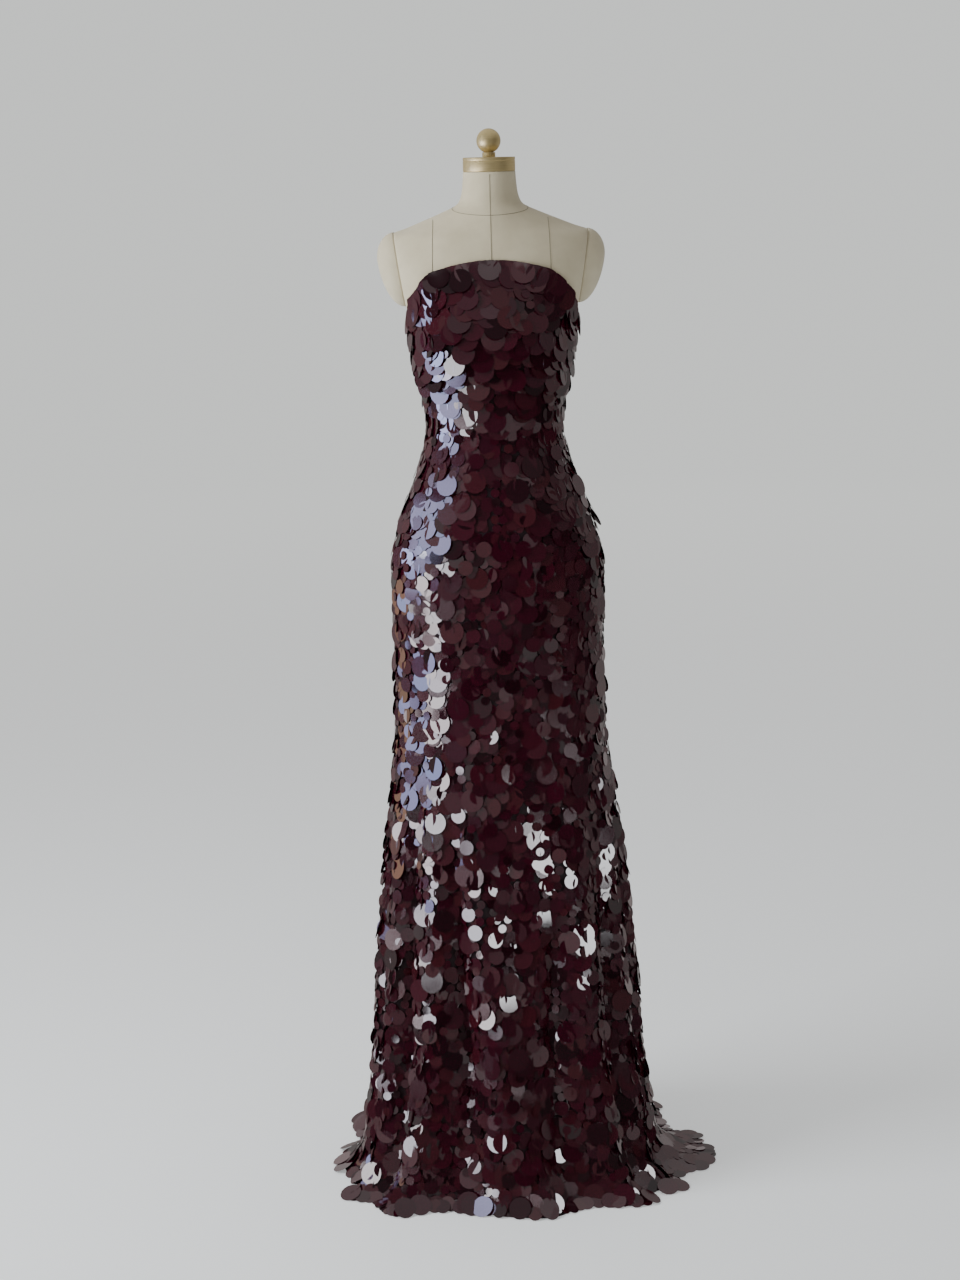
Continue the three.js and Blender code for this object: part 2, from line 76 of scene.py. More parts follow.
flutes = {
    "columns": ("begin", "hem", "half", "depth", "start"),
    "rows": [
        (-18, 5, 14, 29, 800), (31, 41, 16, 31, 780), (61, 67, 13, 24, 700), (90, 94, 14, 28, 800),
        (122, 123, 16, 33, 740), (153, 152, 16, 36, 820), (183, 182, 16, 38, 760),
        (214, 213, 16, 34, 800), (244, 242, 15, 31, 720), (271, 268, 14, 27, 780),
        (298, 295, 13, 27, 700), (324, 324, 15, 30, 780),
    ],
}
cut = dict(waist=1300, top=1553, hemBend=60, ease=0.7, fluteGrowth=1.15, hemSpread=1.5, floorGap=0.05)
cups = dict(angle=29, height=1436, rise=8, angleSpread=19, heightSpread=46)


def tableColumn(table, name):
    at = table["columns"].index(name)
    return np.array([row[at] for row in table["rows"]], float)


def smoothCurve(xs, ys, at):  # cubic pieces whose slopes come from the neighbouring rows
    order = np.argsort(xs)
    xs, ys = xs[order], ys[order]
    row = np.arange(len(xs))
    before, after = np.maximum(row - 1, 0), np.minimum(row + 1, len(xs) - 1)
    slopes = (ys[after] - ys[before]) / (xs[after] - xs[before])
    at = np.clip(at, xs[0], xs[-1])
    i = np.clip(np.searchsorted(xs, at, side="right") - 1, 0, len(xs) - 2)
    span = xs[i + 1] - xs[i]
    t = (at - xs[i]) / span
    ends = ys[i] * (1 + 2 * t) * (1 - t) ** 2 + ys[i + 1] * t * t * (3 - 2 * t)
    return ends + span * t * (1 - t) * (slopes[i] * (1 - t) - slopes[i + 1] * t)


def figureValue(name, height):
    return smoothCurve(tableColumn(figure, "height"), tableColumn(figure, name), height)


def roundValue(table, name, angle):
    turns, values = tableColumn(table, "angle"), tableColumn(table, name)
    around = np.concatenate([turns - 360, turns, turns + 360])
    return smoothCurve(around, np.tile(values, 3), (angle + 180) % 360 - 180)


def figurePoint(angle, height, outwards=0.0):
    angle, height = np.broadcast_arrays(np.asarray(angle, float), np.asarray(height, float))
    power = 2 / figureValue("square", height)
    side, ahead = np.sin(np.radians(angle)), np.cos(np.radians(angle))
    depth = np.where(ahead > 0, figureValue("front", height), figureValue("back", height))
    x = figureValue("half", height) * np.sign(side) * np.abs(side) ** power
    y = -depth * np.sign(ahead) * np.abs(ahead) ** power
    rise = outwards
    for centre in (cups["angle"], -cups["angle"]):
        away = ((angle - centre) / cups["angleSpread"]) ** 2
        rise = rise + cups["rise"] * np.exp(-away - ((height - cups["height"]) / cups["heightSpread"]) ** 2)
    grow = 1 + rise / np.hypot(x, y)
    return np.stack([x * grow, y * grow, height], -1)


def fluteDepth(angle, height):
    total = np.zeros(np.broadcast(angle, height).shape)
    for begin, hem, half, depth, start in flutes["rows"]:
        grown = np.clip((start - height) / start, 0, 1)
        centre = begin + (hem - begin) * grown
        away = np.abs((angle - centre + 540) % 360 - 180) / half
        ridge = np.where(away < 1, np.cos(np.minimum(away, 1) * math.pi / 2) ** 2, 0)
        total = total + depth * ridge * grown ** cut["fluteGrowth"]
    return total


# soft creases, given one by one: the middle's angle and level, length along, width across, depth and slant
creases = {
    "columns": ("angle", "level", "along", "across", "depth", "slant"),
    "rows": [
        (-62, 1255, 60, 9, -1.6, 14), (-48, 1215, 90, 12, 1.5, 22), (55, 1240, 70, 10, -1.6, -18),
        (70, 1205, 80, 12, 1.4, -24), (-12, 1262, 50, 14, -1.2, 5), (18, 1190, 80, 14, 1.2, -8),
        (-30, 905, 150, 11, 1.8, 3), (14, 880, 170, 12, -1.9, -4), (44, 860, 150, 10, 1.6, 2),
        (-58, 850, 160, 11, -1.7, 5), (-80, 700, 180, 10, 1.8, 2), (78, 720, 180, 11, -1.8, -3),
        (-52, 360, 270, 5.0, -17, 3), (-20, 320, 270, 5.2, -17, -9), (20, 320, 270, 5.0, -17, 6),
        (54, 330, 260, 4.6, -16, 4), (-81, 360, 260, 4.4, -13, 1), (80, 310, 240, 4.4, -14, -2),
        (26, 560, 130, 8, 7.0, 12), (120, 1235, 70, 12, -1.5, 16), (150, 1200, 60, 12, 1.4, 12),
        (-118, 1240, 70, 12, -1.6, -15), (-146, 1205, 70, 12, 1.4, -14), (108, 360, 260, 3.4, -12, 2),
        (138, 330, 260, 3.6, -13, -2), (168, 340, 270, 3.4, -12, 2), (-162, 330, 270, 3.6, -13, 2),
        (-133, 340, 260, 3.4, -12, -2), (-105, 320, 250, 3.4, -11, 2), (124, 620, 200, 8, 2.4, 2),
        (153, 650, 200, 8, 2.2, -2), (-177, 640, 210, 8, 2.4, 2), (-146, 650, 200, 8, 2.2, -2),
    ],
}
creaseLimits = dict(hemFade=90, closeAbove=1000, deepest=-19.0)  # above closeAbove no crease goes inwards


def creaseDepth(angle, level):
    total = np.zeros(np.broadcast(angle, level).shape)
    for middle, height, along, across, depth, slant in creases["rows"]:
        drift = middle + slant * (level - height) / (2 * along)
        aside = ((angle - drift + 540) % 360 - 180) / across
        total = total + depth * np.exp(-(aside * aside) - ((level - height) / along) ** 2)
    return total


def hangingPoint(angle, level, creased=True):
    angle, level = np.broadcast_arrays(np.asarray(angle, float), np.asarray(level, float))
    share = (level - cut["waist"]) / (cut["top"] - cut["waist"])
    bodice = level > cut["waist"]
    bodiceHeight = cut["waist"] + share * (roundValue(topEdge, "height", angle) - cut["waist"])
    lying = np.clip((cut["hemBend"] - level) / cut["hemBend"], 0, 1)
    bent = -cut["ease"] + (cut["hemBend"] + cut["ease"]) * (1 - lying) ** 2
    skirtHeight = np.where(level >= cut["hemBend"], level, bent)
    height = np.where(bodice, bodiceHeight, skirtHeight)
    outwards = np.where(bodice, 0.0, fluteDepth(angle, skirtHeight))
    outwards = outwards + roundValue(hemReach, "reach", angle) * lying ** cut["hemSpread"]
    if creased:
        fade = np.clip(level / creaseLimits["hemFade"], 0, 1)
        deepest = np.where(level > creaseLimits["closeAbove"], 0.0, creaseLimits["deepest"])
        outwards = outwards + fade * np.maximum(creaseDepth(angle, level), deepest)
    point = figurePoint(angle, np.maximum(height, 0), outwards)
    point[..., 2] = height
    return point


def unit(vectors):
    return vectors / np.maximum(np.linalg.norm(vectors, axis=-1, keepdims=True), 1e-12)


def clothFrame(angle, level):  # the directions round the cloth, up it and out of it
    turn, drop = 0.5, 1.5
    around = hangingPoint(angle + turn, level) - hangingPoint(angle - turn, level)
    upwards = hangingPoint(angle, np.minimum(level + drop, cut["top"]))
    upwards = upwards - hangingPoint(angle, np.maximum(level - drop, 0))
    out = unit(np.cross(around, upwards))
    return unit(around), unit(upwards), out


def clothPoint(angle, level, distance):
    angle, level = np.broadcast_arrays(np.asarray(angle, float), np.asarray(level, float))
    point = hangingPoint(angle, level) + clothFrame(angle, level)[2] * np.asarray(distance)[..., None]
    point[..., 2] = np.maximum(point[..., 2], cut["floorGap"])
    return point


def mmPerDegree(angle, level):
    return np.linalg.norm(hangingPoint(angle + 0.5, level) - hangingPoint(angle - 0.5, level), axis=-1)


# meshes

def newObject(name, data):
    piece = bpy.data.objects.new(name, data)
    bpy.context.scene.collection.objects.link(piece)
    return piece


def newMesh(name, points, faces, smooth=True):
    mesh = bpy.data.meshes.new(name)
    mesh.from_pydata([tuple(p) for p in points], [], faces)
    mesh.polygons.foreach_set("use_smooth", [smooth] * len(mesh.polygons))
    mesh.update()
    return newObject(name, mesh)


def deselect():
    if bpy.context.object and bpy.context.object.mode == "EDIT":
        bpy.ops.object.mode_set(mode="OBJECT")
    bpy.ops.object.select_all(action="DESELECT")


def selectOnly(piece):
    deselect()
    piece.select_set(True)
    bpy.context.view_layer.objects.active = piece


def editAll():
    bpy.ops.object.mode_set(mode="EDIT")
    bpy.ops.mesh.select_all(action="SELECT")


def dress(piece, material, body=mainBody, replaces=()):
    piece.data.materials.clear()
    piece.data.materials.append(material)
    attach(piece, body)
    if replaces:
        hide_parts(*replaces)
    return piece


def wallFaces(rows, columns):  # a closed wall: outer grid, then inner grid, then its four edge strips
    at = lambda side, i, j: side * rows * columns + i * columns + j
    end, last = rows - 1, columns - 1
    faces = []
    for i in range(end):
        for j in range(last):
            faces.append((at(0, i, j), at(0, i + 1, j), at(0, i + 1, j + 1), at(0, i, j + 1)))
            faces.append((at(1, i, j), at(1, i, j + 1), at(1, i + 1, j + 1), at(1, i + 1, j)))
    for j in range(last):
        faces.append((at(0, 0, j), at(0, 0, j + 1), at(1, 0, j + 1), at(1, 0, j)))
        faces.append((at(0, end, j + 1), at(0, end, j), at(1, end, j), at(1, end, j + 1)))
    for i in range(end):
        faces.append((at(0, i + 1, 0), at(0, i, 0), at(1, i, 0), at(1, i + 1, 0)))
        faces.append((at(0, i, last), at(0, i + 1, last), at(1, i + 1, last), at(1, i, last)))
    return faces


def ringFaces(rings, count, closed=False):  # faces from each ring of points to the next
    faces = []
    for i in range(rings if closed else rings - 1):
        here, there = i * count, (i + 1) % rings * count
        for j in range(count):
            after = (j + 1) % count
            faces.append((here + j, here + after, there + after, there + j))
    return faces


# materials

def newMaterial(name, baseColour, roughness, metallic=0.0):
    material = bpy.data.materials.new(name)
    material.use_nodes = True
    shader = material.node_tree.nodes["Principled BSDF"]
    shader.inputs["Base Color"].default_value = (*baseColour, 1)
    shader.inputs["Roughness"].default_value = roughness
    shader.inputs["Metallic"].default_value = metallic
    return material, material.node_tree, shader


def addNode(tree, kind, **settings):
    node = tree.nodes.new("ShaderNode" + kind)
    for name, value in settings.items():
        if name in node.inputs:
            node.inputs[name].default_value = value
        else:
            setattr(node, name, value)
    return node


def wire(source, output, target, entry):
    source.id_data.links.new(source.outputs[output], target.inputs[entry])


def ramp(source, output, stops):  # a colour ramp fed by one output of a node
    node = addNode(source.id_data, "ValToRGB")
    while len(node.color_ramp.elements) < len(stops):
        node.color_ramp.elements.new(0.5)
    for element, (at, colour) in zip(node.color_ramp.elements, stops):
        element.position = at
        element.color = (*colour, 1)
    wire(source, output, node, "Fac")
    return node


def tint(shader, source, output, stops):  # the base colour follows a pattern
    wire(ramp(source, output, stops), "Color", shader, "Base Color")


def polish(shader, source, output, smoothest, roughest):  # so does the roughness
    node = addNode(shader.id_data, "MapRange")
    node.inputs["To Min"].default_value, node.inputs["To Max"].default_value = smoothest, roughest
    wire(source, output, node, "Value")
    wire(node, "Result", shader, "Roughness")


def bump(shader, source, output, strength, distance):
    node = addNode(shader.id_data, "Bump", Strength=strength, Distance=distance)
    wire(source, output, node, "Height")
    wire(node, "Normal", shader, "Normal")


def grainNoise(tree, stretch=(1.0, 1.0, 1.0), **settings):  # noise that stays with the piece
    place = addNode(tree, "TexCoord")
    mapping = addNode(tree, "Mapping", Scale=stretch)
    grain = addNode(tree, "TexNoise", **settings)
    wire(place, "Object", mapping, "Vector")
    wire(mapping, "Vector", grain, "Vector")
    return grain


def weaveGroup():  # fine plain weave, read from Object coordinates
    group = bpy.data.node_groups.new("fineWeave", "ShaderNodeTree")
    for name, value in (("Threads", 900.0), ("Slubs", 60.0)):
        socket = group.interface.new_socket(name, in_out="INPUT", socket_type="NodeSocketFloat")
        socket.default_value = value
    for name in ("Height", "Slub"):
        group.interface.new_socket(name, in_out="OUTPUT", socket_type="NodeSocketFloat")
    start, end = group.nodes.new("NodeGroupInput"), group.nodes.new("NodeGroupOutput")
    place = addNode(group, "TexCoord")
    both = addNode(group, "Math", operation="MAXIMUM")
    for i, direction in enumerate(("DIAGONAL", "Z")):
        wave = addNode(group, "TexWave", wave_type="BANDS", bands_direction=direction,
                       Distortion=0.6, Detail=1.0)
        wire(place, "Object", wave, "Vector")
        wire(start, "Threads", wave, "Scale")
        wire(wave, "Fac", both, i)
    slub = addNode(group, "TexNoise", Detail=3.0, Roughness=0.6)
    wire(place, "Object", slub, "Vector")
    wire(start, "Slubs", slub, "Scale")
    wire(both, 0, end, "Height")
    wire(slub, "Fac", end, "Slub")
    return group


fineWeave = weaveGroup()


def pailletteFilm():
    look = dict(
        black=(0.010, 0.0003, 0.0026), deep=(0.027, 0.0008, 0.0064), wine=(0.038, 0.0022, 0.0088),
        brown=(0.041, 0.0055, 0.0092), plum=(0.031, 0.0040, 0.0105), light=(0.047, 0.0078, 0.0130),
        roughness=(0.07, 0.15), ior=1.8, waviness=0.05, ripple=38.0, rippleApart=400.0,
    )
    material, tree, shader = newMaterial("pailletteFilm", look["wine"], look["roughness"][0])
    tone = addNode(tree, "Attribute", attribute_name="tone")
    tint(shader, tone, "Fac", [
        (0.12, look["black"]), (0.32, look["deep"]), (0.50, look["wine"]), (0.64, look["brown"]),
        (0.80, look["plum"]), (0.95, look["light"]),
    ])
    polish(shader, tone, "Fac", *look["roughness"])
    shader.inputs["IOR"].default_value = look["ior"]
    ripple = grainNoise(tree, noise_dimensions="4D", Scale=look["ripple"], Detail=1.0, Roughness=0.4)
    apart = addNode(tree, "Math", operation="MULTIPLY")
    apart.inputs[1].default_value = look["rippleApart"]
    wire(tone, "Fac", apart, 0)
    wire(apart, 0, ripple, "W")
    bump(shader, ripple, "Fac", look["waviness"], 0.001)
    return material


def wovenCloth(name, look):
    material, tree, shader = newMaterial(name, look["high"], look["roughness"])
    weave = addNode(tree, "Group", node_tree=fineWeave, Threads=look["threads"], Slubs=look["slubs"])
    tint(shader, weave, "Slub", [(look["edges"][0], look["low"]), (look["edges"][1], look["high"])])
    bump(shader, weave, "Height", look["relief"], look["depth"])
    shader.inputs["Sheen Weight"].default_value = look["sheen"]
    return material


def brushedBrass():
    look = dict(low=(0.60, 0.47, 0.22), high=(0.74, 0.61, 0.32), metallic=0.72, roughness=(0.34, 0.5),
                brushed=(6.0, 6.0, 900.0), relief=0.12)
    material, tree, shader = newMaterial("brushedBrass", look["high"], look["roughness"][0], look["metallic"])
    grain = grainNoise(tree, look["brushed"], Scale=3.0, Detail=3.0, Roughness=0.6)
    tint(shader, grain, "Fac", [(0.3, look["low"]), (0.7, look["high"])])
    polish(shader, grain, "Fac", *look["roughness"])
    bump(shader, grain, "Fac", look["relief"], 0.0003)
    return material


def plainFinish(name, low, high, roughness, scale, metallic=0.0, relief=0.15):
    material, tree, shader = newMaterial(name, high, roughness, metallic)
    grain = grainNoise(tree, Scale=scale, Detail=2.0)
    tint(shader, grain, "Fac", [(0.3, low), (0.7, high)])
    bump(shader, grain, "Fac", relief, 0.0003)
    return material


paillettes = pailletteFilm()
net = wovenCloth("wineNet", dict(
    low=(0.010, 0.0005, 0.002), high=(0.019, 0.0012, 0.004), edges=(0.3, 0.7), roughness=0.75,
    threads=700.0, slubs=90.0, relief=0.5, depth=0.0004, sheen=0.0,
))
cover = wovenCloth("formCover", dict(
    low=(0.56, 0.49, 0.34), high=(0.64, 0.57, 0.41), edges=(0.25, 0.75), roughness=0.88,
    threads=520.0, slubs=26.0, relief=0.25, depth=0.0003, sheen=0.15,
))
brass = brushedBrass()
coat = plainFinish("standCoat", (0.014, 0.014, 0.015), (0.025, 0.025, 0.026), 0.45, 420.0, relief=0.25)
thread = plainFinish("darkThread", (0.014, 0.003, 0.005), (0.030, 0.006, 0.010), 0.6, 2000.0)
nylon = plainFinish("nylonCoil", (0.012, 0.003, 0.005), (0.024, 0.006, 0.009), 0.42, 1500.0)
zipMetal = plainFinish("zipMetal", (0.17, 0.13, 0.13), (0.23, 0.18, 0.175), 0.3, 500.0, 0.85, 0.06)
seamThread = plainFinish("seamThread", (0.22, 0.19, 0.13), (0.30, 0.265, 0.19), 0.85, 1800.0)
print("materials made")


# the dress form: padded torso, shoulder caps and their seams

def makeTorso():
    look = dict(bottom=960, firstStep=6, ease=-0.6, columns=120, coverStep=9, shoulderStep=3.5, join=1574,
                top=1687.7, bare=(0.12, 0.96, 8))
    angles = np.linspace(-180, 180, look["columns"], endpoint=False)
    edge = roundValue(topEdge, "height", angles)
    rings = [figurePoint(angles, look["bottom"])]
    levels = np.concatenate([
        np.arange(look["bottom"] + look["firstStep"], cut["waist"], look["coverStep"]),
        np.arange(cut["waist"], cut["top"] + 0.1, look["coverStep"]),
    ])
    for level in levels:
        out = clothFrame(angles, level)[2]
        rings.append(hangingPoint(angles, level, creased=False) + out * look["ease"])
    for share in np.linspace(*look["bare"]):
        rings.append(figurePoint(angles, edge + share * (look["join"] - edge)))
    for height in np.arange(look["join"], look["top"], look["shoulderStep"]):
        rings.append(figurePoint(angles, height))
    rings.append(figurePoint(angles, look["top"]))
    count = len(angles)
    faces = ringFaces(len(rings), count)
    faces.append(tuple(reversed(range(count))))
    faces.append(tuple(range((len(rings) - 1) * count, len(rings) * count)))
    torso = newMesh("formTorso", np.concatenate(rings) * mm, faces)
    for side in (1, -1):
        cutFlat(torso, side)
    return dress(torso, cover, replaces=["form_torso"])


armhole = dict(tip=154, tipHeight=1592, foot=137, footHeight=1476, middle=1534)  # a plane at each side
armholeLean = math.atan2(armhole["tip"] - armhole["foot"], armhole["tipHeight"] - armhole["footHeight"])


def armholeAt(height):
    return armhole["foot"] + (height - armhole["footHeight"]) * math.tan(armholeLean)


def cutFlat(torso, side):  # the flat plate at an armhole
    selectOnly(torso)
    editAll()
    bpy.ops.mesh.bisect(
        plane_co=(side * armholeAt(armhole["middle"]) * mm, 0, armhole["middle"] * mm),
        plane_no=(side * math.cos(armholeLean), 0, -math.sin(armholeLean)),
        use_fill=True, clear_outer=True,
    )
    bpy.ops.object.mode_set(mode="OBJECT")


def makeShoulderCap(side):
    look = dict(bulge=33, up=43, down=76, halfDepth=47, centre=1554, gap=0.3, across=64, rows=20)
    turns = np.linspace(0, 2 * math.pi, look["across"], endpoint=False)
    tall = np.where(np.sin(turns) > 0, look["up"], look["down"])
    rings = []
    for i in range(look["rows"]):
        lift = i / look["rows"] * math.pi / 2
        out = np.full(len(turns), look["bulge"] * math.sin(lift) + look["gap"])
        deep = look["halfDepth"] * np.cos(turns) * math.cos(lift)
        rings.append(np.stack([out, deep, tall * np.sin(turns) * math.cos(lift)], -1))
    points = np.concatenate(rings + [np.array([[look["bulge"] + look["gap"], 0, 0]])])
    lean = np.array(Matrix.Rotation(armholeLean, 3, "Y"))
    points = points @ lean.T + np.array([armholeAt(look["centre"]), 0, look["centre"]])
    if side < 0:
        points = points * np.array([-1, -1, 1])
    count, tip = look["across"], len(points) - 1
    above = (look["rows"] - 1) * count
    faces = [tuple(reversed(range(count))), *ringFaces(look["rows"], count)]
    faces += [(above + j, above + (j + 1) % count, tip) for j in range(count)]
    name = "left" if side > 0 else "right"
    cap = newMesh(f"shoulderCap_{name}", points * mm, faces)
    cap.data.polygons[0].use_smooth = False
    dress(cap, cover, replaces=[f"shoulder_cap_{name}"])


def tubeAlong(path, radius, sides=5, closed=False):  # points and faces of a thin cord
    path = np.asarray(path, float)
    if closed:
        along = np.roll(path, -1, 0) - np.roll(path, 1, 0)
    else:
        along = np.gradient(path, axis=0)
    along = unit(along)
    reference = np.where(np.abs(along[:, 2:3]) > 0.8, [[1.0, 0.0, 0.0]], [[0.0, 0.0, 1.0]])
    first = unit(np.cross(along, reference))
    second = np.cross(along, first)
    points = []
    for turn in np.linspace(0, 2 * math.pi, sides, endpoint=False):
        points.append(path + radius * (math.cos(turn) * first + math.sin(turn) * second))
    points = np.stack(points, 1).reshape(-1, 3)
    faces = ringFaces(len(path), sides, closed)
    if not closed:
        faces += [tuple(reversed(range(sides))), tuple(range(len(points) - sides, len(points)))]
    return points, faces


def joinedMesh(name, parts, smooth=True):
    points, faces, start = [], [], 0
    for some, those in parts:
        points.append(np.asarray(some))
        faces += [tuple(start + i for i in face) for face in those]
        start += len(some)
    return newMesh(name, np.concatenate(points), faces, smooth)


# piped seams: centre front and back, the four princess seams, and the base of the neck
def makeFormSeams():
    look = dict(radius=0.55, proud=0.05, step=3.0, princess=95, shoulder=91, low=1450, high=1618,
                underCap=1686, furthest=0.97, neck=1633, neckDip=12, neckStep=4.0, dipPower=1.5)
    parts = []

    def line(angleAt, low, high):
        heights = np.arange(low, high, look["step"])
        angles = np.array([angleAt(height) for height in heights])
        parts.append(tubeAlong(figurePoint(angles, heights, look["proud"]), look["radius"]))

    def princess(side, back):
        def angleAt(height):
            share = (height - look["low"]) / (look["high"] - look["low"])
            x = look["princess"] + share * (look["shoulder"] - look["princess"])
            reach = min(x / float(figureValue("half", height)), look["furthest"])
            angle = math.degrees(math.asin(reach ** (float(figureValue("square", height)) / 2)))
            return side * (180 - angle if back else angle)
        return angleAt

    line(lambda height: 0, look["low"], look["underCap"])
    line(lambda height: 180, look["low"], look["underCap"])
    for side in (1, -1):
        line(princess(side, False), look["low"], look["high"])
        line(princess(side, True), look["low"], look["high"])
    turns = np.arange(0, 360, look["neckStep"])
    dip = np.clip(np.cos(np.radians(turns)), 0, 1) ** look["dipPower"]
    ring = look["neck"] - look["neckDip"] * dip
    parts.append(tubeAlong(figurePoint(turns, ring, look["proud"]), look["radius"], closed=True))
    seams = joinedMesh("formSeams", [(points * mm, faces) for points, faces in parts])
    dress(seams, seamThread)


torso = makeTorso()
for side in (1, -1):
    makeShoulderCap(side)
makeFormSeams()
print("dress form made")


# turned hard pieces: neck cap, finial, flange, pole and foot

edges = dict(bevelAbove=30, smoothBelow=35)


def settle(piece):
    selectOnly(piece)
    bpy.ops.object.transform_apply(location=True, rotation=True, scale=True)


def applyBevel(piece, width, segments=2):
    selectOnly(piece)
    bevel = piece.modifiers.new("edges", "BEVEL")
    bevel.width, bevel.segments, bevel.angle_limit = width * mm, segments, math.radians(edges["bevelAbove"])
    bpy.ops.object.modifier_apply(modifier=bevel.name)
    bpy.ops.object.shade_smooth_by_angle(angle=math.radians(edges["smoothBelow"]))


def turnedPiece(name, steps, bevel, vertices=64):  # a disc, extruded ring by ring to each radius and height
    deselect()
    radius, height = steps[0]
    bpy.ops.mesh.primitive_circle_add(
        vertices=vertices, radius=radius * mm, fill_type="NGON", location=(0, 0, height * mm))
    piece = bpy.context.object
    piece.name = piece.data.name = name
    editAll()
    for nextRadius, nextHeight in steps[1:]:
        bpy.ops.mesh.extrude_region_move(
            TRANSFORM_OT_translate={"value": (0, 0, (nextHeight - height) * mm)})
        grow = nextRadius / radius
        bpy.ops.transform.resize(value=(grow, grow, 1))
        radius, height = nextRadius, nextHeight
    bpy.ops.mesh.select_all(action="SELECT")
    bpy.ops.mesh.normals_make_consistent(inside=False)
    bpy.ops.object.mode_set(mode="OBJECT")
    settle(piece)
    applyBevel(piece, bevel)
    return piece


def makeNeckCap():
    look = dict(radius=41.5, bottom=1688, top=1710, chamfer=0.8, groove=0.5, grooveWide=1.2, grooveAt=1704.5,
                grooveSlope=0.2, bevel=0.9, vertices=96)
    r, inner, slope = look["radius"], look["radius"] - look["groove"], look["grooveSlope"]
    low, high = look["grooveAt"] - look["grooveWide"] / 2, look["grooveAt"] + look["grooveWide"] / 2
    cap = turnedPiece("neckCap", [
        (r - look["chamfer"], look["bottom"]), (r, look["bottom"] + look["chamfer"]), (r, low),
        (inner, low + slope), (inner, high - slope), (r, high), (r, look["top"]),
    ], look["bevel"], look["vertices"])
    dress(cap, brass, replaces=["neck_cap"])


def makeFinial():
    look = dict(bottom=1710.3, collarRadius=10.4, collarTop=1717.7, bevel=0.5, ballRadius=19.2, seat=7,
                segments=64, rings=32)
    collar = turnedPiece("neckFinial", [
        (look["collarRadius"], look["bottom"]), (look["collarRadius"], look["collarTop"]),
    ], look["bevel"])
    deselect()
    centre = look["collarTop"] + math.sqrt(look["ballRadius"] ** 2 - look["seat"] ** 2)
    bpy.ops.mesh.primitive_uv_sphere_add(
        segments=look["segments"], ring_count=look["rings"], radius=look["ballRadius"] * mm,
        location=(0, 0, centre * mm))
    bpy.ops.object.shade_smooth()
    collar.select_set(True)
    bpy.context.view_layer.objects.active = collar
    bpy.ops.object.join()
    settle(collar)
    dress(collar, brass, replaces=["neck_finial"])


def makeStand():
    look = dict(
        flange=[(16.3, 954), (16.3, 938), (22, 938), (24, 946), (48, 953), (48, 959.7)],
        pole=[(16, 20.3), (16, 953.7)],
        foot=[(138.6, 0), (140, 1.4), (140, 7), (138, 8.6), (85, 14.5), (33, 21), (30, 24), (28, 56),
              (16.3, 56), (16.3, 20)],
        bevel=0.8, footBevel=0.9, footVertices=128,
    )
    flange = turnedPiece("formFlange", look["flange"], look["bevel"])
    dress(flange, coat, replaces=["form_flange"])
    pole = turnedPiece("standPole", look["pole"], look["bevel"])
    dress(pole, coat, replaces=["stand_pole"])
    foot = turnedPiece("standFoot", look["foot"], look["footBevel"], look["footVertices"])
    dress(foot, coat, replaces=["stand_foot"])


makeNeckCap()
makeFinial()
makeStand()
print("brass cap, finial and stand made")


# the gown: a shell of net for each panel

panels = {
    "columns": ("node", "from", "to"),
    "rows": [
        ("gown_centre_front", -24, 24), ("gown_side_front_left", 24, 92),
        ("gown_side_back_left", 92, 148), ("gown_centre_back_left", 148, 180),
        ("gown_centre_back_right", -180, -148), ("gown_side_back_right", -148, -92),
        ("gown_side_front_right", -92, -24),
    ],
}
zipPlace = dict(bottom=1115, edge=2.05, seam=0.15)
clothLook = dict(inner=0.9, outer=1.5, across=6.5, widestAt=100.0, down=9, hemDown=3)
clothLevels = np.concatenate([
    np.arange(cut["top"], cut["hemBend"], -clothLook["down"]),
    np.arange(cut["hemBend"], -0.1, -clothLook["hemDown"]),
])


def makePanel(name, first, last):
    widest = (last - first) * mmPerDegree((first + last) / 2, clothLook["widestAt"])
    columns = int(widest / clothLook["across"]) + 2
    spread = np.linspace(0, 1, columns)
    outer, inner = [], []
    for level in clothLevels:
        short = [
            (zipPlace["edge"] if abs(a) == 180 and level >= zipPlace["bottom"] else zipPlace["seam"])
            / mmPerDegree(float(a), level) for a in (first, last)
        ]
        angles = first + short[0] + spread * (last - short[1] - first - short[0])
        outer.append(clothPoint(angles, level, clothLook["outer"]))
        inner.append(clothPoint(angles, level, clothLook["inner"]))
    points = np.concatenate([np.array(outer).reshape(-1, 3), np.array(inner).reshape(-1, 3)]) * mm
    piece = newMesh(f"net_{name}", points, wallFaces(len(clothLevels), columns))
    middle = (np.array(outer) + np.array(inner)) / 2 * mm
    return dress(piece, net, replaces=[name]), middle


def flatSize(middle):  # the size a panel was cut to: its widest row, its longest column and its area
    across = np.linalg.norm(np.diff(middle, axis=1), axis=-1)
    along = np.linalg.norm(np.diff(middle, axis=0), axis=-1)
    a, b = middle[1:, 1:] - middle[:-1, :-1], middle[:-1, 1:] - middle[1:, :-1]
    area = np.linalg.norm(np.cross(a, b), axis=-1).sum() / 2
    return across.sum(1).max(), along.sum(0).max(), area


for name, first, last in panels["rows"]:
    panel, middle = makePanel(name, first, last)
    width, length, area = flatSize(middle)
    print(f"{name}: flat {width:.3f} x {length:.3f} m, area {area:.3f}")
print("net panels made")


# paillettes hung in rows from the top edge down, larger and fewer over the bust

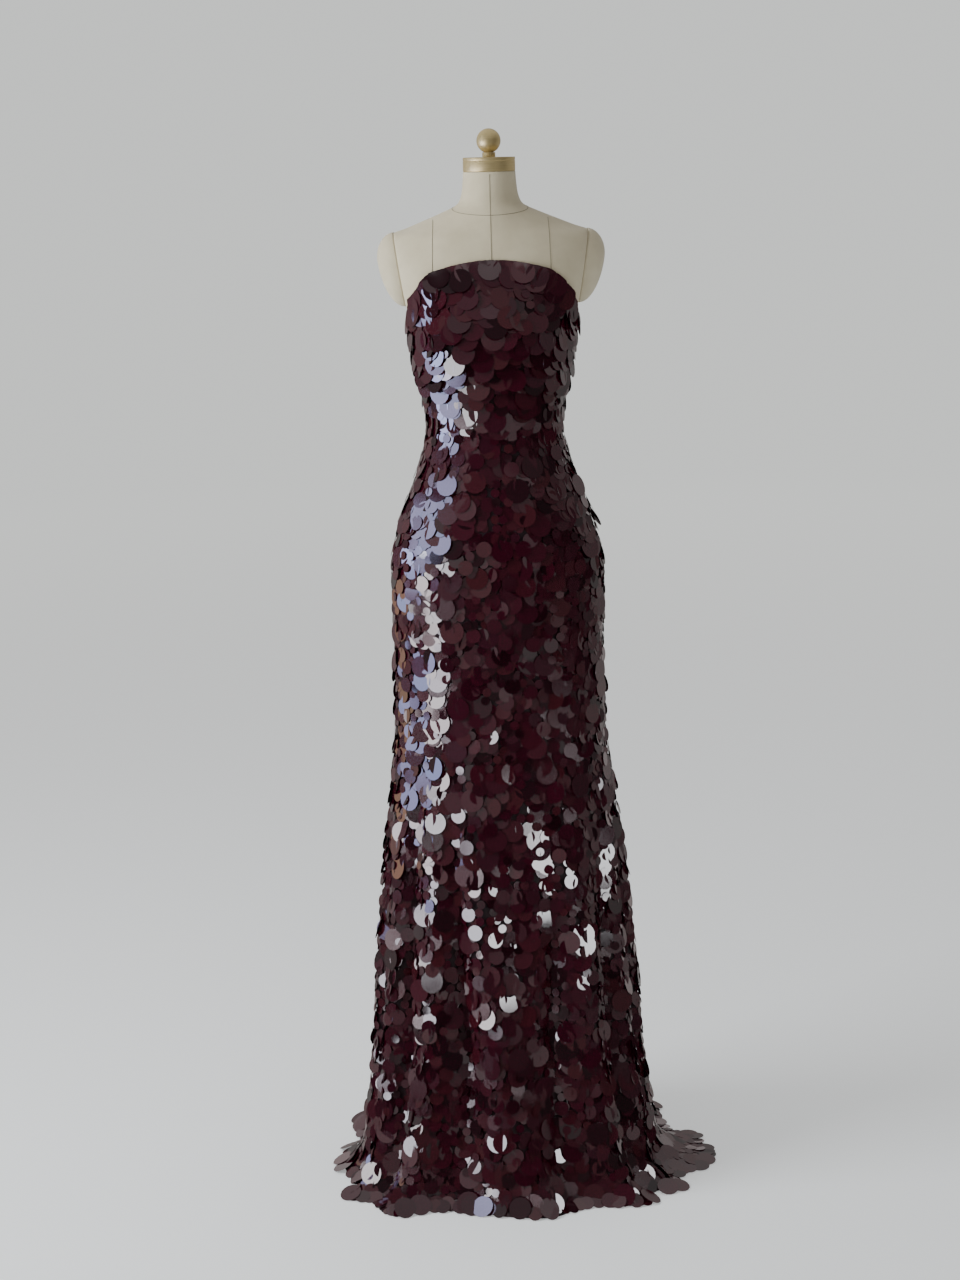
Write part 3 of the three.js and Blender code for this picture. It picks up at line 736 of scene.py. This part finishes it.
spacing = dict(step=14, bustStep=16, bust=1390, across=15.5, bustAcross=19.5, scatter=0.16, base=1.9,
               first=-4.0, hemOver=12, lane=4.0, laneSpare=1.0, laneBelow=10)
measuring = dict(turn=1.0, coarse=5.0, fine=1.5, fineBelow=90)
sizes = {
    "columns": ("radius", "share", "bustShare"),
    "rows": [(18.5, 0.17, 0.46), (12.5, 0.43, 0.38), (7.3, 0.40, 0.16)],
}
sizing = dict(vary=(0.95, 1.05), topRow=16, folded=-5, foldedMiddle=0.35, small=9, toneSpread=1.6)
hang = dict(hole=0.82, thick=0.34, cup=0.2, corners=16, lift=1.4, pitch=3.0, pitchSpread=3.8, yawSpread=6.0,
            rollSpread=14, furthest=2.2, jumble=0.3, jumbleFrom=1120, jumbleOver=250, sharpAbove=40)
plumb = dict(share=0.9, growth=9)  # where the cloth leans back a paillette hangs nearly plumb
nearFloor = dict(below=70, lift=0.5, calm=0.6)  # near the floor they lie flatter and calmer
propped = dict(aside=0.6, bodice=0.85, skirt=0.4, bodiceFrom=900, most=4.5)
stitch = dict(half=0.24, thick=0.2, over=0.7, proud=0.1)
loose = dict(share=0.15, smallShare=0.65, lift=(2.0, 3.8), calm=0.7)
limits = dict(edgeBand=60, overEdge=0.6, floorGap=0.4, stitchGap=0.2)
random = np.random.default_rng(seed=11)


def sampleDisc():  # one paillette of radius 1 and thickness 1, a little cupped
    deselect()
    bpy.ops.mesh.primitive_cylinder_add(vertices=hang["corners"], radius=1, depth=1, end_fill_type="TRIFAN")
    disc = bpy.context.object
    editAll()
    bpy.ops.mesh.normals_make_consistent(inside=False)
    bpy.ops.object.mode_set(mode="OBJECT")
    points = np.array([v.co for v in disc.data.vertices])
    centre = np.hypot(points[:, 0], points[:, 1]) < 0.01
    points[centre, 2] -= hang["cup"]
    faces = np.array([list(p.vertices) + [-1] * (4 - len(p.vertices)) for p in disc.data.polygons])
    bpy.data.objects.remove(disc)
    return points, faces


def fallLines():  # the arc length down the cloth to each level, at each degree round it
    angles = np.arange(-180, 180.5, measuring["turn"])
    levels = np.concatenate([
        np.arange(cut["top"], measuring["fineBelow"], -measuring["coarse"]),
        np.arange(measuring["fineBelow"], -0.1, -measuring["fine"]),
    ])
    grid = hangingPoint(angles[None, :], levels[:, None])
    steps = np.linalg.norm(np.diff(grid, axis=0), axis=-1)
    fallen = np.concatenate([np.zeros((1, len(angles))), np.cumsum(steps, 0)])
    return angles, levels, fallen


def rowPlaces():  # angle and level of every paillette, row by row, the hem's own row last
    angles, levels, fallen = fallLines()
    total = fallen[-1]
    middle = len(angles) // 2
    places = []

    def fillRow(fall, number, hemRow=False):
        level = np.array([np.interp(fall[j], fallen[:, j], levels) for j in range(len(angles))])
        points = hangingPoint(angles, level)
        girth = np.concatenate([[0], np.cumsum(np.linalg.norm(np.diff(points, axis=0), axis=-1))])
        across = spacing["bustAcross"] if level[middle] > spacing["bust"] else spacing["across"]
        count = int(round(girth[-1] / across))
        scattered = np.arange(count) + 0.5 * (number % 2) + random.normal(0, spacing["scatter"], count)
        turn = np.interp(scattered / count * girth[-1] % girth[-1], girth, angles)
        down = np.interp(turn, angles, level)
        keep = np.interp(turn, angles, total) >= np.interp(turn, angles, fall) + spacing["hemOver"]
        keep = keep | hemRow
        places.append(np.stack([turn[keep], down[keep]], -1))

    fall, number = spacing["first"], 0
    while fall < total.max():
        fillRow(np.full(len(angles), fall), number)
        number += 1
        fall += spacing["bustStep"] if fall < cut["top"] - spacing["bust"] else spacing["step"]
    fillRow(total - spacing["hemOver"], number, hemRow=True)
    return np.concatenate(places)


def placeDiscs(places, radius):
    angle, level = places[:, 0], places[:, 1]
    count = len(angle)
    up, out = clothFrame(angle, level)[1:]
    plane = out * np.array([1, 1, 0])
    recedes = np.clip(-(-up * unit(plane)).sum(-1) * plumb["growth"], 0, 1)[:, None]
    down = unit(-up * (1 - recedes * plumb["share"]) + np.array([0, 0, -1]) * recedes * plumb["share"])
    out = unit(out - down * (out * down).sum(-1, keepdims=True))
    flat = np.clip(1 - level / nearFloor["below"], 0, 1)
    share = np.where(radius < sizing["small"], loose["smallShare"], loose["share"])
    free = (random.uniform(0, 1, count) < share) * (1 - flat)
    lift = random.uniform(0, hang["lift"], count) * (1 - nearFloor["lift"] * flat)
    lift = lift + free * random.uniform(*loose["lift"], count)
    start = clothPoint(angle, level, spacing["base"] + lift)
    # the highest of the cloth on both sides holds a paillette off a hollow
    wide = propped["aside"] * radius / mmPerDegree(angle, level)
    below = np.maximum(level - radius * hang["hole"], 0)
    holds = np.stack([
        ((clothPoint(angle + side * wide, below, spacing["base"]) - start) * out).sum(-1) for side in (-1, 1)
    ]).max(0)
    holds = holds * np.where(level > propped["bodiceFrom"], propped["bodice"], propped["skirt"])
    start = start + out * np.clip(holds, 0, propped["most"])[:, None]
    calm = (1 - nearFloor["calm"] * flat) * (1 - free * loose["calm"])
    calm = calm * (1 + hang["jumble"] * np.clip((hang["jumbleFrom"] - level) / hang["jumbleOver"], 0, 1))
    swings = np.clip(random.normal(0, 1, (2, count)), -hang["furthest"], hang["furthest"]) * calm
    pitch = np.radians(hang["pitch"] + np.abs(swings[0]) * hang["pitchSpread"])[:, None]
    yaw = np.radians(swings[1] * hang["yawSpread"])[:, None]
    roll = np.radians(random.normal(0, hang["rollSpread"], count))[:, None]
    side = np.cross(out, down)
    down, out = down * np.cos(pitch) + out * np.sin(pitch), out * np.cos(pitch) - down * np.sin(pitch)
    side, out = side * np.cos(yaw) + out * np.sin(yaw), out * np.cos(yaw) - side * np.sin(yaw)
    down, side = down * np.cos(roll) + side * np.sin(roll), side * np.cos(roll) - down * np.sin(roll)
    return start, side, down, out


def makePaillettes():
    sample, sampleFaces = sampleDisc()
    places = rowPlaces()
    angle, level = places.T
    draw = random.uniform(0, 1, len(places))
    radii = tableColumn(sizes, "radius")
    kind = np.where(
        level > spacing["bust"],
        np.searchsorted(np.cumsum(tableColumn(sizes, "bustShare")), draw),
        np.searchsorted(np.cumsum(tableColumn(sizes, "share")), draw),
    )
    kind = np.minimum(kind, len(radii) - 1)
    kind[level >= cut["top"] - sizing["topRow"]] = 0
    folded = creaseDepth(angle, level) < sizing["folded"]
    kind[folded] = np.maximum(kind[folded], 1 + (draw[folded] > sizing["foldedMiddle"]))
    radius = radii[kind] * random.uniform(*sizing["vary"], len(places))
    # beside the zip a row ends with its last paillette clear of the coil
    clear = radius + spacing["lane"]
    lateral = (180 - np.abs(angle)) * mmPerDegree(angle, level)
    tight = (level > zipPlace["bottom"] - spacing["laneBelow"]) & (lateral < clear)
    sideways = (clear + spacing["laneSpare"]) / mmPerDegree(angle, level)
    places[tight, 0] = np.sign(angle[tight]) * (180 - sideways[tight])
    start, side, down, out = placeDiscs(places, radius)
    tone = random.beta(sizing["toneSpread"], sizing["toneSpread"], len(places))
    wide = radius[:, None]
    middle = start + down * (wide * hang["hole"])
    frames = middle, side, down, out
    points = placed(frames, sample[:, 0] * wide, -sample[:, 1] * wide, sample[None, :, 2] * hang["thick"])
    # nothing stands above the top edge, nor under the floor
    perDegree = mmPerDegree(places[:, 0], places[:, 1])
    turn = places[:, 0:1] + sample[None, :, 0] * (radius / perDegree)[:, None]
    edge = roundValue(topEdge, "height", turn) + limits["overEdge"]
    nearEdge = places[:, 1:2] > cut["top"] - limits["edgeBand"]
    points[..., 2] = np.where(nearEdge, np.minimum(points[..., 2], edge), points[..., 2])
    points[..., 2] += np.maximum(limits["floorGap"] - points[..., 2].min(1), 0)[:, None]
    sewn, stitchFaces = stitches(frames, radius)
    sewn[..., 2] = np.clip(sewn[..., 2], limits["stitchGap"], edge[:, :1])
    for name, first, last in panels["rows"]:
        own = (places[:, 0] >= first) & (places[:, 0] < last)
        repeatedMesh(f"paillettes_{name}", points[own], sampleFaces, tone[own], paillettes)
        repeatedMesh(f"stitches_{name}", sewn[own], stitchFaces, tone[own], thread)
    print(f"{len(places)} paillettes hung")


def placed(frames, aside, along, proud):  # points given by their distances along each frame's directions
    middle, side, down, out = (part[:, None, :] for part in frames)
    return middle + side * aside[..., None] + down * along[..., None] + out * proud[..., None]


def stitches(frames, radius):  # a flat stitch on each, from its hole over its upper rim
    corners = np.array([(x, y, z) for z in (0, 1) for y in (0, 1) for x in (-1, 1)], float)
    faces = np.array([(0, 2, 3, 1), (4, 5, 7, 6), (0, 1, 5, 4), (2, 6, 7, 3), (0, 4, 6, 2), (1, 3, 7, 5)])
    low, high = radius * hang["hole"], radius + stitch["over"]
    along = -low[:, None] - corners[None, :, 1] * (high - low)[:, None]
    lifted = hang["thick"] / 2 + stitch["proud"] + stitch["thick"] * (corners[None, :, 2] - 0.5)
    return placed(frames, corners[None, :, 0] * stitch["half"], along, lifted), faces


def repeatedMesh(name, points, sampleFaces, tone, material):
    count, each = points.shape[:2]
    sizesOfFaces = (sampleFaces >= 0).sum(1)
    loops = sampleFaces[sampleFaces >= 0]
    mesh = bpy.data.meshes.new(name)
    mesh.vertices.add(count * each)
    mesh.vertices.foreach_set("co", (points.reshape(-1) * mm).astype(np.float32))
    allLoops = (loops[None, :] + (np.arange(count) * each)[:, None]).reshape(-1)
    mesh.loops.add(len(allLoops))
    mesh.loops.foreach_set("vertex_index", allLoops.astype(np.int32))
    starts = np.concatenate([[0], np.cumsum(np.tile(sizesOfFaces, count))[:-1]])
    mesh.polygons.add(len(starts))
    mesh.polygons.foreach_set("loop_start", starts.astype(np.int32))
    mesh.polygons.foreach_set("use_smooth", [True] * len(starts))
    mesh.update(calc_edges=True)
    mesh.set_sharp_from_angle(angle=math.radians(hang["sharpAbove"]))
    attribute = mesh.attributes.new("tone", "FLOAT", "POINT")
    attribute.data.foreach_set("value", np.repeat(tone, each).astype(np.float32))
    dress(newObject(name, mesh), material)


makePaillettes()


# the zip at centre back: tape, coil, slider and pull

def makeZip():
    look = dict(pitch=1.5, tooth=(2.0, 1.1, 0.9), toothBevel=0.28, aside=0.75, proud=2.0, first=1.5,
                tapeWide=1.75, tapeStep=6.0, start=1118)
    levels = np.arange(zipPlace["bottom"], cut["top"] + 0.1, look["tapeStep"])[::-1]
    grids = []
    for distance in (clothLook["outer"], clothLook["inner"]):
        middle = clothPoint(180.0, levels, distance) * [0, 1, 1]
        grids.append(np.stack([middle + [x, 0, 0] for x in (look["tapeWide"], -look["tapeWide"])], 1))
    points = np.concatenate([grid.reshape(-1, 3) for grid in grids]) * mm
    tape = newMesh("zipTape", points, wallFaces(len(levels), 2), smooth=False)
    dress(tape, net, replaces=["zip_coil"])
    deselect()
    bpy.ops.mesh.primitive_cube_add(size=1)
    tooth = bpy.context.object
    tooth.dimensions = look["tooth"]
    bpy.ops.object.transform_apply(scale=True)
    bevel = tooth.modifiers.new("edges", "BEVEL")
    bevel.width, bevel.segments = look["toothBevel"], 1
    bpy.ops.object.modifier_apply(modifier=bevel.name)
    sample = np.array([v.co for v in tooth.data.vertices])
    sampleFaces = [tuple(p.vertices) for p in tooth.data.polygons]
    bpy.data.objects.remove(tooth)
    line = clothPoint(180.0, np.arange(cut["top"], look["start"], -1.0), look["proud"])
    along = np.concatenate([[0], np.cumsum(np.linalg.norm(np.diff(line, axis=0), axis=-1))])
    parts = []
    for i, at in enumerate(np.arange(look["first"], along[-1], look["pitch"] / 2)):
        side = 1 if i % 2 else -1
        place = np.array([np.interp(at, along, line[:, k]) for k in range(3)])
        parts.append(((sample + place + [side * look["aside"], 0, 0]) * mm, sampleFaces))
    coil = joinedMesh("zipCoil", parts, smooth=False)
    dress(coil, nylon)
    makeSlider()


slider = dict(level=1541, seat=3.7, gap=0.3, width=7, foot=4.6, length=10, thick=2.2, chamfer=0.01, bevel=0.5,
              earGap=3.2, ear=1.0, earLong=3.0, earTop=1.3, earBevel=0.3, pin=0.6, pinSides=24, pivot=2.2)
pull = dict(knuckle=1.7, eye=0.95, eyeSides=(32, 12), neck=2.6, neckShare=0.8, neckBevel=0.2, thick=1.2,
            width=4.8, start=3.2, length=23, sides=40, shoulder=0.9, shoulderFrom=0.6, bevel=0.25)


def zipFrame():
    seat = clothPoint(180.0, float(slider["level"]), slider["seat"])
    seat = np.array([0, seat[1], seat[2]])
    out = clothFrame(180.0, float(slider["level"]))[2]
    out = unit(np.array([0, out[1], out[2]]))
    up = np.array([0, -out[2], out[1]])
    return seat, out, up


def placeOnZip(piece, seat, out, up):
    turn = Matrix(((1, out[0], up[0]), (0, out[1], up[1]), (0, out[2], up[2]))).to_4x4()
    piece.matrix_world = Matrix.Translation(Vector(seat * mm)) @ turn @ piece.matrix_world
    settle(piece)


def blockPiece(size, place, bevel, segments=2):
    deselect()
    bpy.ops.mesh.primitive_cube_add(size=1, location=tuple(np.array(place) * mm))
    piece = bpy.context.object
    piece.dimensions = tuple(np.array(size) * mm)
    settle(piece)
    applyBevel(piece, bevel, segments)
    return piece


def joinInto(target, others):
    selectOnly(target)
    for piece in others:
        piece.select_set(True)
    bpy.ops.object.join()


def makeSlider():
    seat, out, up = zipFrame()
    half, top = slider["thick"] / 2, slider["gap"] + slider["thick"]
    size = (slider["width"], slider["thick"], slider["length"])
    body = blockPiece(size, (0, slider["gap"] + half, 0), slider["chamfer"], 1)
    for v in body.data.vertices:
        if v.co.z < 0:
            v.co.x *= slider["foot"] / slider["width"]
    applyBevel(body, slider["bevel"], 3)
    size = (slider["ear"], half + slider["pivot"] + slider["earTop"], slider["earLong"])
    aside = (slider["earGap"] + slider["ear"]) / 2
    place = top - half + size[1] / 2
    parts = [blockPiece(size, (s * aside, place, 0), slider["earBevel"]) for s in (1, -1)]
    deselect()
    bpy.ops.mesh.primitive_cylinder_add(
        vertices=slider["pinSides"], radius=slider["pin"] * mm,
        depth=(slider["earGap"] + 2 * slider["ear"]) * mm,
        rotation=(0, math.pi / 2, 0), location=(0, (top + slider["pivot"]) * mm, 0),
    )
    parts.append(bpy.context.object)
    settle(parts[-1])
    joinInto(body, parts)
    body.name = body.data.name = "zipSlider"
    placeOnZip(body, seat, out, up)
    dress(body, zipMetal, replaces=["zip_slider"])
    makePull(seat + out * (top + slider["pivot"]))


def makePull(pivot):
    ring = pull["knuckle"] - pull["eye"]
    deselect()
    bpy.ops.mesh.primitive_torus_add(
        major_radius=(pull["knuckle"] + pull["eye"]) / 2 * mm, minor_radius=ring / 2 * mm,
        major_segments=pull["eyeSides"][0], minor_segments=pull["eyeSides"][1], rotation=(0, math.pi / 2, 0),
    )
    eye = bpy.context.object
    eye.scale = (1, 1, pull["neck"] / ring)
    settle(eye)
    bpy.ops.object.shade_smooth()
    neck = blockPiece(
        (pull["neck"] * pull["neckShare"], pull["thick"], pull["start"] - pull["eye"]),
        (0, 0, -(pull["start"] + pull["eye"]) / 2), pull["neckBevel"],
    )
    wide, low = pull["width"] / 2, pull["length"] - pull["width"] / 2
    deselect()
    bpy.ops.mesh.primitive_cylinder_add(
        vertices=pull["sides"], radius=wide * mm, depth=pull["thick"] * mm,
        rotation=(math.pi / 2, 0, 0), location=(0, 0, -low * mm),
    )
    tab = bpy.context.object
    settle(tab)
    for v in tab.data.vertices:
        if v.co.z > -low * mm + 1e-6:
            v.co.x *= 1.0 if v.co.z < (-low + wide * pull["shoulderFrom"]) * mm else pull["shoulder"]
            v.co.z += (low - pull["start"] - wide) * mm
    applyBevel(tab, pull["bevel"])
    for piece in (eye, neck, tab):
        piece.data.transform(Matrix.Translation(Vector(pivot * mm)))
    joinInto(tab, [eye, neck])
    tab.name = tab.data.name = "zipPull"
    settle(tab)
    dress(tab, zipMetal, body="pull", replaces=["zip_pull"])


makeZip()
print("zip made")


# the camera, floor and lights

def makeCamera():
    view = dict(place=(-0.032, -3.8, 1.737), pitch=12.01, roll=1.35, focalPixels=2350, framePixels=1280)
    data = bpy.data.cameras.new("photoCamera")
    data.sensor_width = 36
    data.lens = view["focalPixels"] / view["framePixels"] * data.sensor_width
    camera = newObject("photoCamera", data)
    camera.location = view["place"]
    turn = Matrix.Rotation(math.radians(90 - view["pitch"]), 4, "X")
    roll = Matrix.Rotation(-math.radians(view["roll"]), 4, "Z")
    camera.rotation_euler = (turn @ roll).to_euler()
    bpy.context.scene.camera = camera


backdrop = (0.825, 0.845, 0.83)  # what the camera sees behind the floor
black = (0.0, 0.0, 0.0)


def makeFloor():  # far from the gown it fades to the backdrop's own tone, emitted in place of lit colour; near the gown an emitted painted glow adds light on top of its lit colour
    look = dict(radius=9, corners=96, level=-0.0006, near=1.6, far=8.6, base=(0.80, 0.82, 0.84),
                paintedGlow=(0.36, 0.37, 0.37), shine=(0.05, 0.05, 0.05), roughness=0.3)
    deselect()
    bpy.ops.mesh.primitive_circle_add(
        vertices=look["corners"], radius=look["radius"], fill_type="NGON", location=(0, 0, look["level"]))
    floor = bpy.context.object
    floor.name = "floor"
    material, tree, shader = newMaterial("paleFloor", look["base"], look["roughness"])
    place = addNode(tree, "TexCoord")
    away = addNode(tree, "VectorMath", operation="LENGTH")
    wire(place, "Object", away, 0)
    share = mapped(away, "Value", look["near"], look["far"])
    # the emission colour is painted light: a glow near the gown and the backdrop's tone far off
    for entry, near, far in (
        ("Base Color", look["base"], black), ("Emission Color", look["paintedGlow"], backdrop),
        ("Specular IOR Level", look["shine"], black),
    ):
        wire(ramp(share, "Result", [(0.0, near), (1.0, far)]), "Color", shader, entry)
    shader.inputs["Emission Strength"].default_value = 1.0
    floor.data.materials.append(material)
    floor.visible_glossy = False


# lights in metres and watts; each reaches either the glossy or the matt share of the surfaces
lights = {
    "columns": ("name", "place", "target", "size", "power", "colour", "reaches"),
    "rows": [
        ("sideBlue", (-3.0, -0.30, 1.05), (0, 0, 1.1), (0.75, 1.1), 15.5, (0.48, 0.57, 1.0), "gloss"),
        ("sideWhite", (-2.7, -1.35, 0.85), (0, 0, 0.9), (0.55, 1.1), 18, (1.0, 0.96, 1.0), "gloss"),
        ("hipBlue", (-0.78, -0.31, 1.32), (0, 0, 1.2), (0.62, 0.38), 4.4, (0.56, 0.63, 1.0), "gloss"),
        ("frontWhite", (-1.95, -2.3, 1.28), (0, 0, 1.3), (0.5, 0.35), 5.2, (0.95, 0.94, 1.0), "gloss"),
        ("lowSide", (-2.15, -2.0, 0.42), (0, 0, 0.5), (0.56, 0.7), 11.5, (0.9, 0.9, 1.0), "gloss"),
        ("lowFront", (0.67, -0.71, 0.59), (0.1, -0.1, 0.5), (0.44, 0.24), 3.6, (0.95, 0.96, 1.0), "gloss"),
        ("backWarm", (-2.4, 1.15, 0.66), (0, 0, 0.8), (0.5, 0.9), 1.7, (1.0, 0.62, 0.34), "gloss"),
        ("sideSoft", (-2.4, -1.0, 2.2), (0, 0, 1.5), (1.5, 1.8), 96, (0.95, 0.98, 1.0), "matt"),
        ("overhead", (0, 0, 3.8), (0, 0, 0), (16, 16), 370, (1.0, 0.99, 0.97), "matt"),
    ],
}


def areaLight(name, place, target, size, power, colour, reaches):
    data = bpy.data.lights.new(name, "AREA")
    data.shape = "RECTANGLE"
    data.size, data.size_y = size
    data.energy = power
    data.color = colour
    light = newObject(name, data)
    light.location = place
    light.rotation_euler = (Vector(target) - Vector(place)).to_track_quat("-Z", "Y").to_euler()
    light.visible_camera = False
    light.visible_diffuse = reaches == "matt"
    light.visible_glossy = reaches == "gloss"


# glossy rays meet a dim tone in front, a paler one behind and lit patches; the camera meets the backdrop
def makeWorld():
    look = dict(
        diffuse=(0.06, 0.06, 0.06), patchScale=5.0,
        behind=[(0.0, (0.020, 0.019, 0.019)), (0.35, (0.032, 0.03, 0.03)), (0.56, (0.20, 0.193, 0.187)),
                (0.8, (0.31, 0.30, 0.29))],
        above=[(0.0, (0.10, 0.10, 0.10)), (0.35, (0.01, 0.01, 0.01)), (0.6, black),
               (0.85, (0.05, 0.05, 0.05)), (1.0, (0.35, 0.35, 0.35))],
        patches=[(0.0, black), (0.5, (0.01, 0.01, 0.01)), (0.84, (0.095, 0.076, 0.072)),
                 (1.0, (0.66, 0.60, 0.60))],
    )
    world = bpy.data.worlds.new("studio")
    world.use_nodes = True
    bpy.context.scene.world = world
    tree = world.node_tree
    tree.nodes.clear()
    output = addNode(tree, "OutputWorld")
    place = addNode(tree, "TexCoord")
    parts = addNode(tree, "SeparateXYZ")
    wire(place, "Generated", parts, "Vector")
    behind = ramp(mapped(parts, "Y", -1, 1), "Result", look["behind"])
    above = ramp(mapped(parts, "Z", -1, 1), "Result", look["above"])
    patches = addNode(tree, "TexVoronoi", Scale=look["patchScale"], Randomness=1.0)
    wire(place, "Generated", patches, "Vector")
    hues = addNode(tree, "SeparateColor")
    wire(patches, "Color", hues, "Color")
    total = addMixed(addMixed(behind, above), ramp(hues, "Red", look["patches"]))
    mirrored = addNode(tree, "Background")
    tree.links.new(colourSocket(total.outputs, "Result"), mirrored.inputs["Color"])
    plain = addNode(tree, "Background", Color=(*look["diffuse"], 1))
    seen = addNode(tree, "Background", Color=(*backdrop, 1))
    rays = addNode(tree, "LightPath")
    rest = mirrored
    for kind, shade in (("Is Diffuse Ray", plain), ("Is Camera Ray", seen)):
        chosen = addNode(tree, "MixShader")
        wire(rays, kind, chosen, 0)
        wire(rest, 0, chosen, 1)
        wire(shade, 0, chosen, 2)
        rest = chosen
    wire(rest, 0, output, "Surface")


def mapped(source, output, low, high):
    node = addNode(source.id_data, "MapRange", interpolation_type="SMOOTHSTEP")
    node.inputs["From Min"].default_value, node.inputs["From Max"].default_value = low, high
    wire(source, output, node, "Value")
    return node


def addMixed(first, second):
    node = addNode(first.id_data, "Mix", data_type="RGBA", blend_type="ADD")
    node.inputs["Factor"].default_value = 1.0
    for source, name in ((first, "A"), (second, "B")):
        colour = colourSocket(source.outputs, "Color", "Result")
        node.id_data.links.new(colour, colourSocket(node.inputs, name))
    return node


def colourSocket(sockets, *names):  # a Mix node's colour sockets share their names with its number sockets
    return next(s for s in sockets if s.name in names and s.type == "RGBA")


makeCamera()
makeFloor()
for row in lights["rows"]:
    areaLight(*row)
makeWorld()
print("camera, floor and lights made")
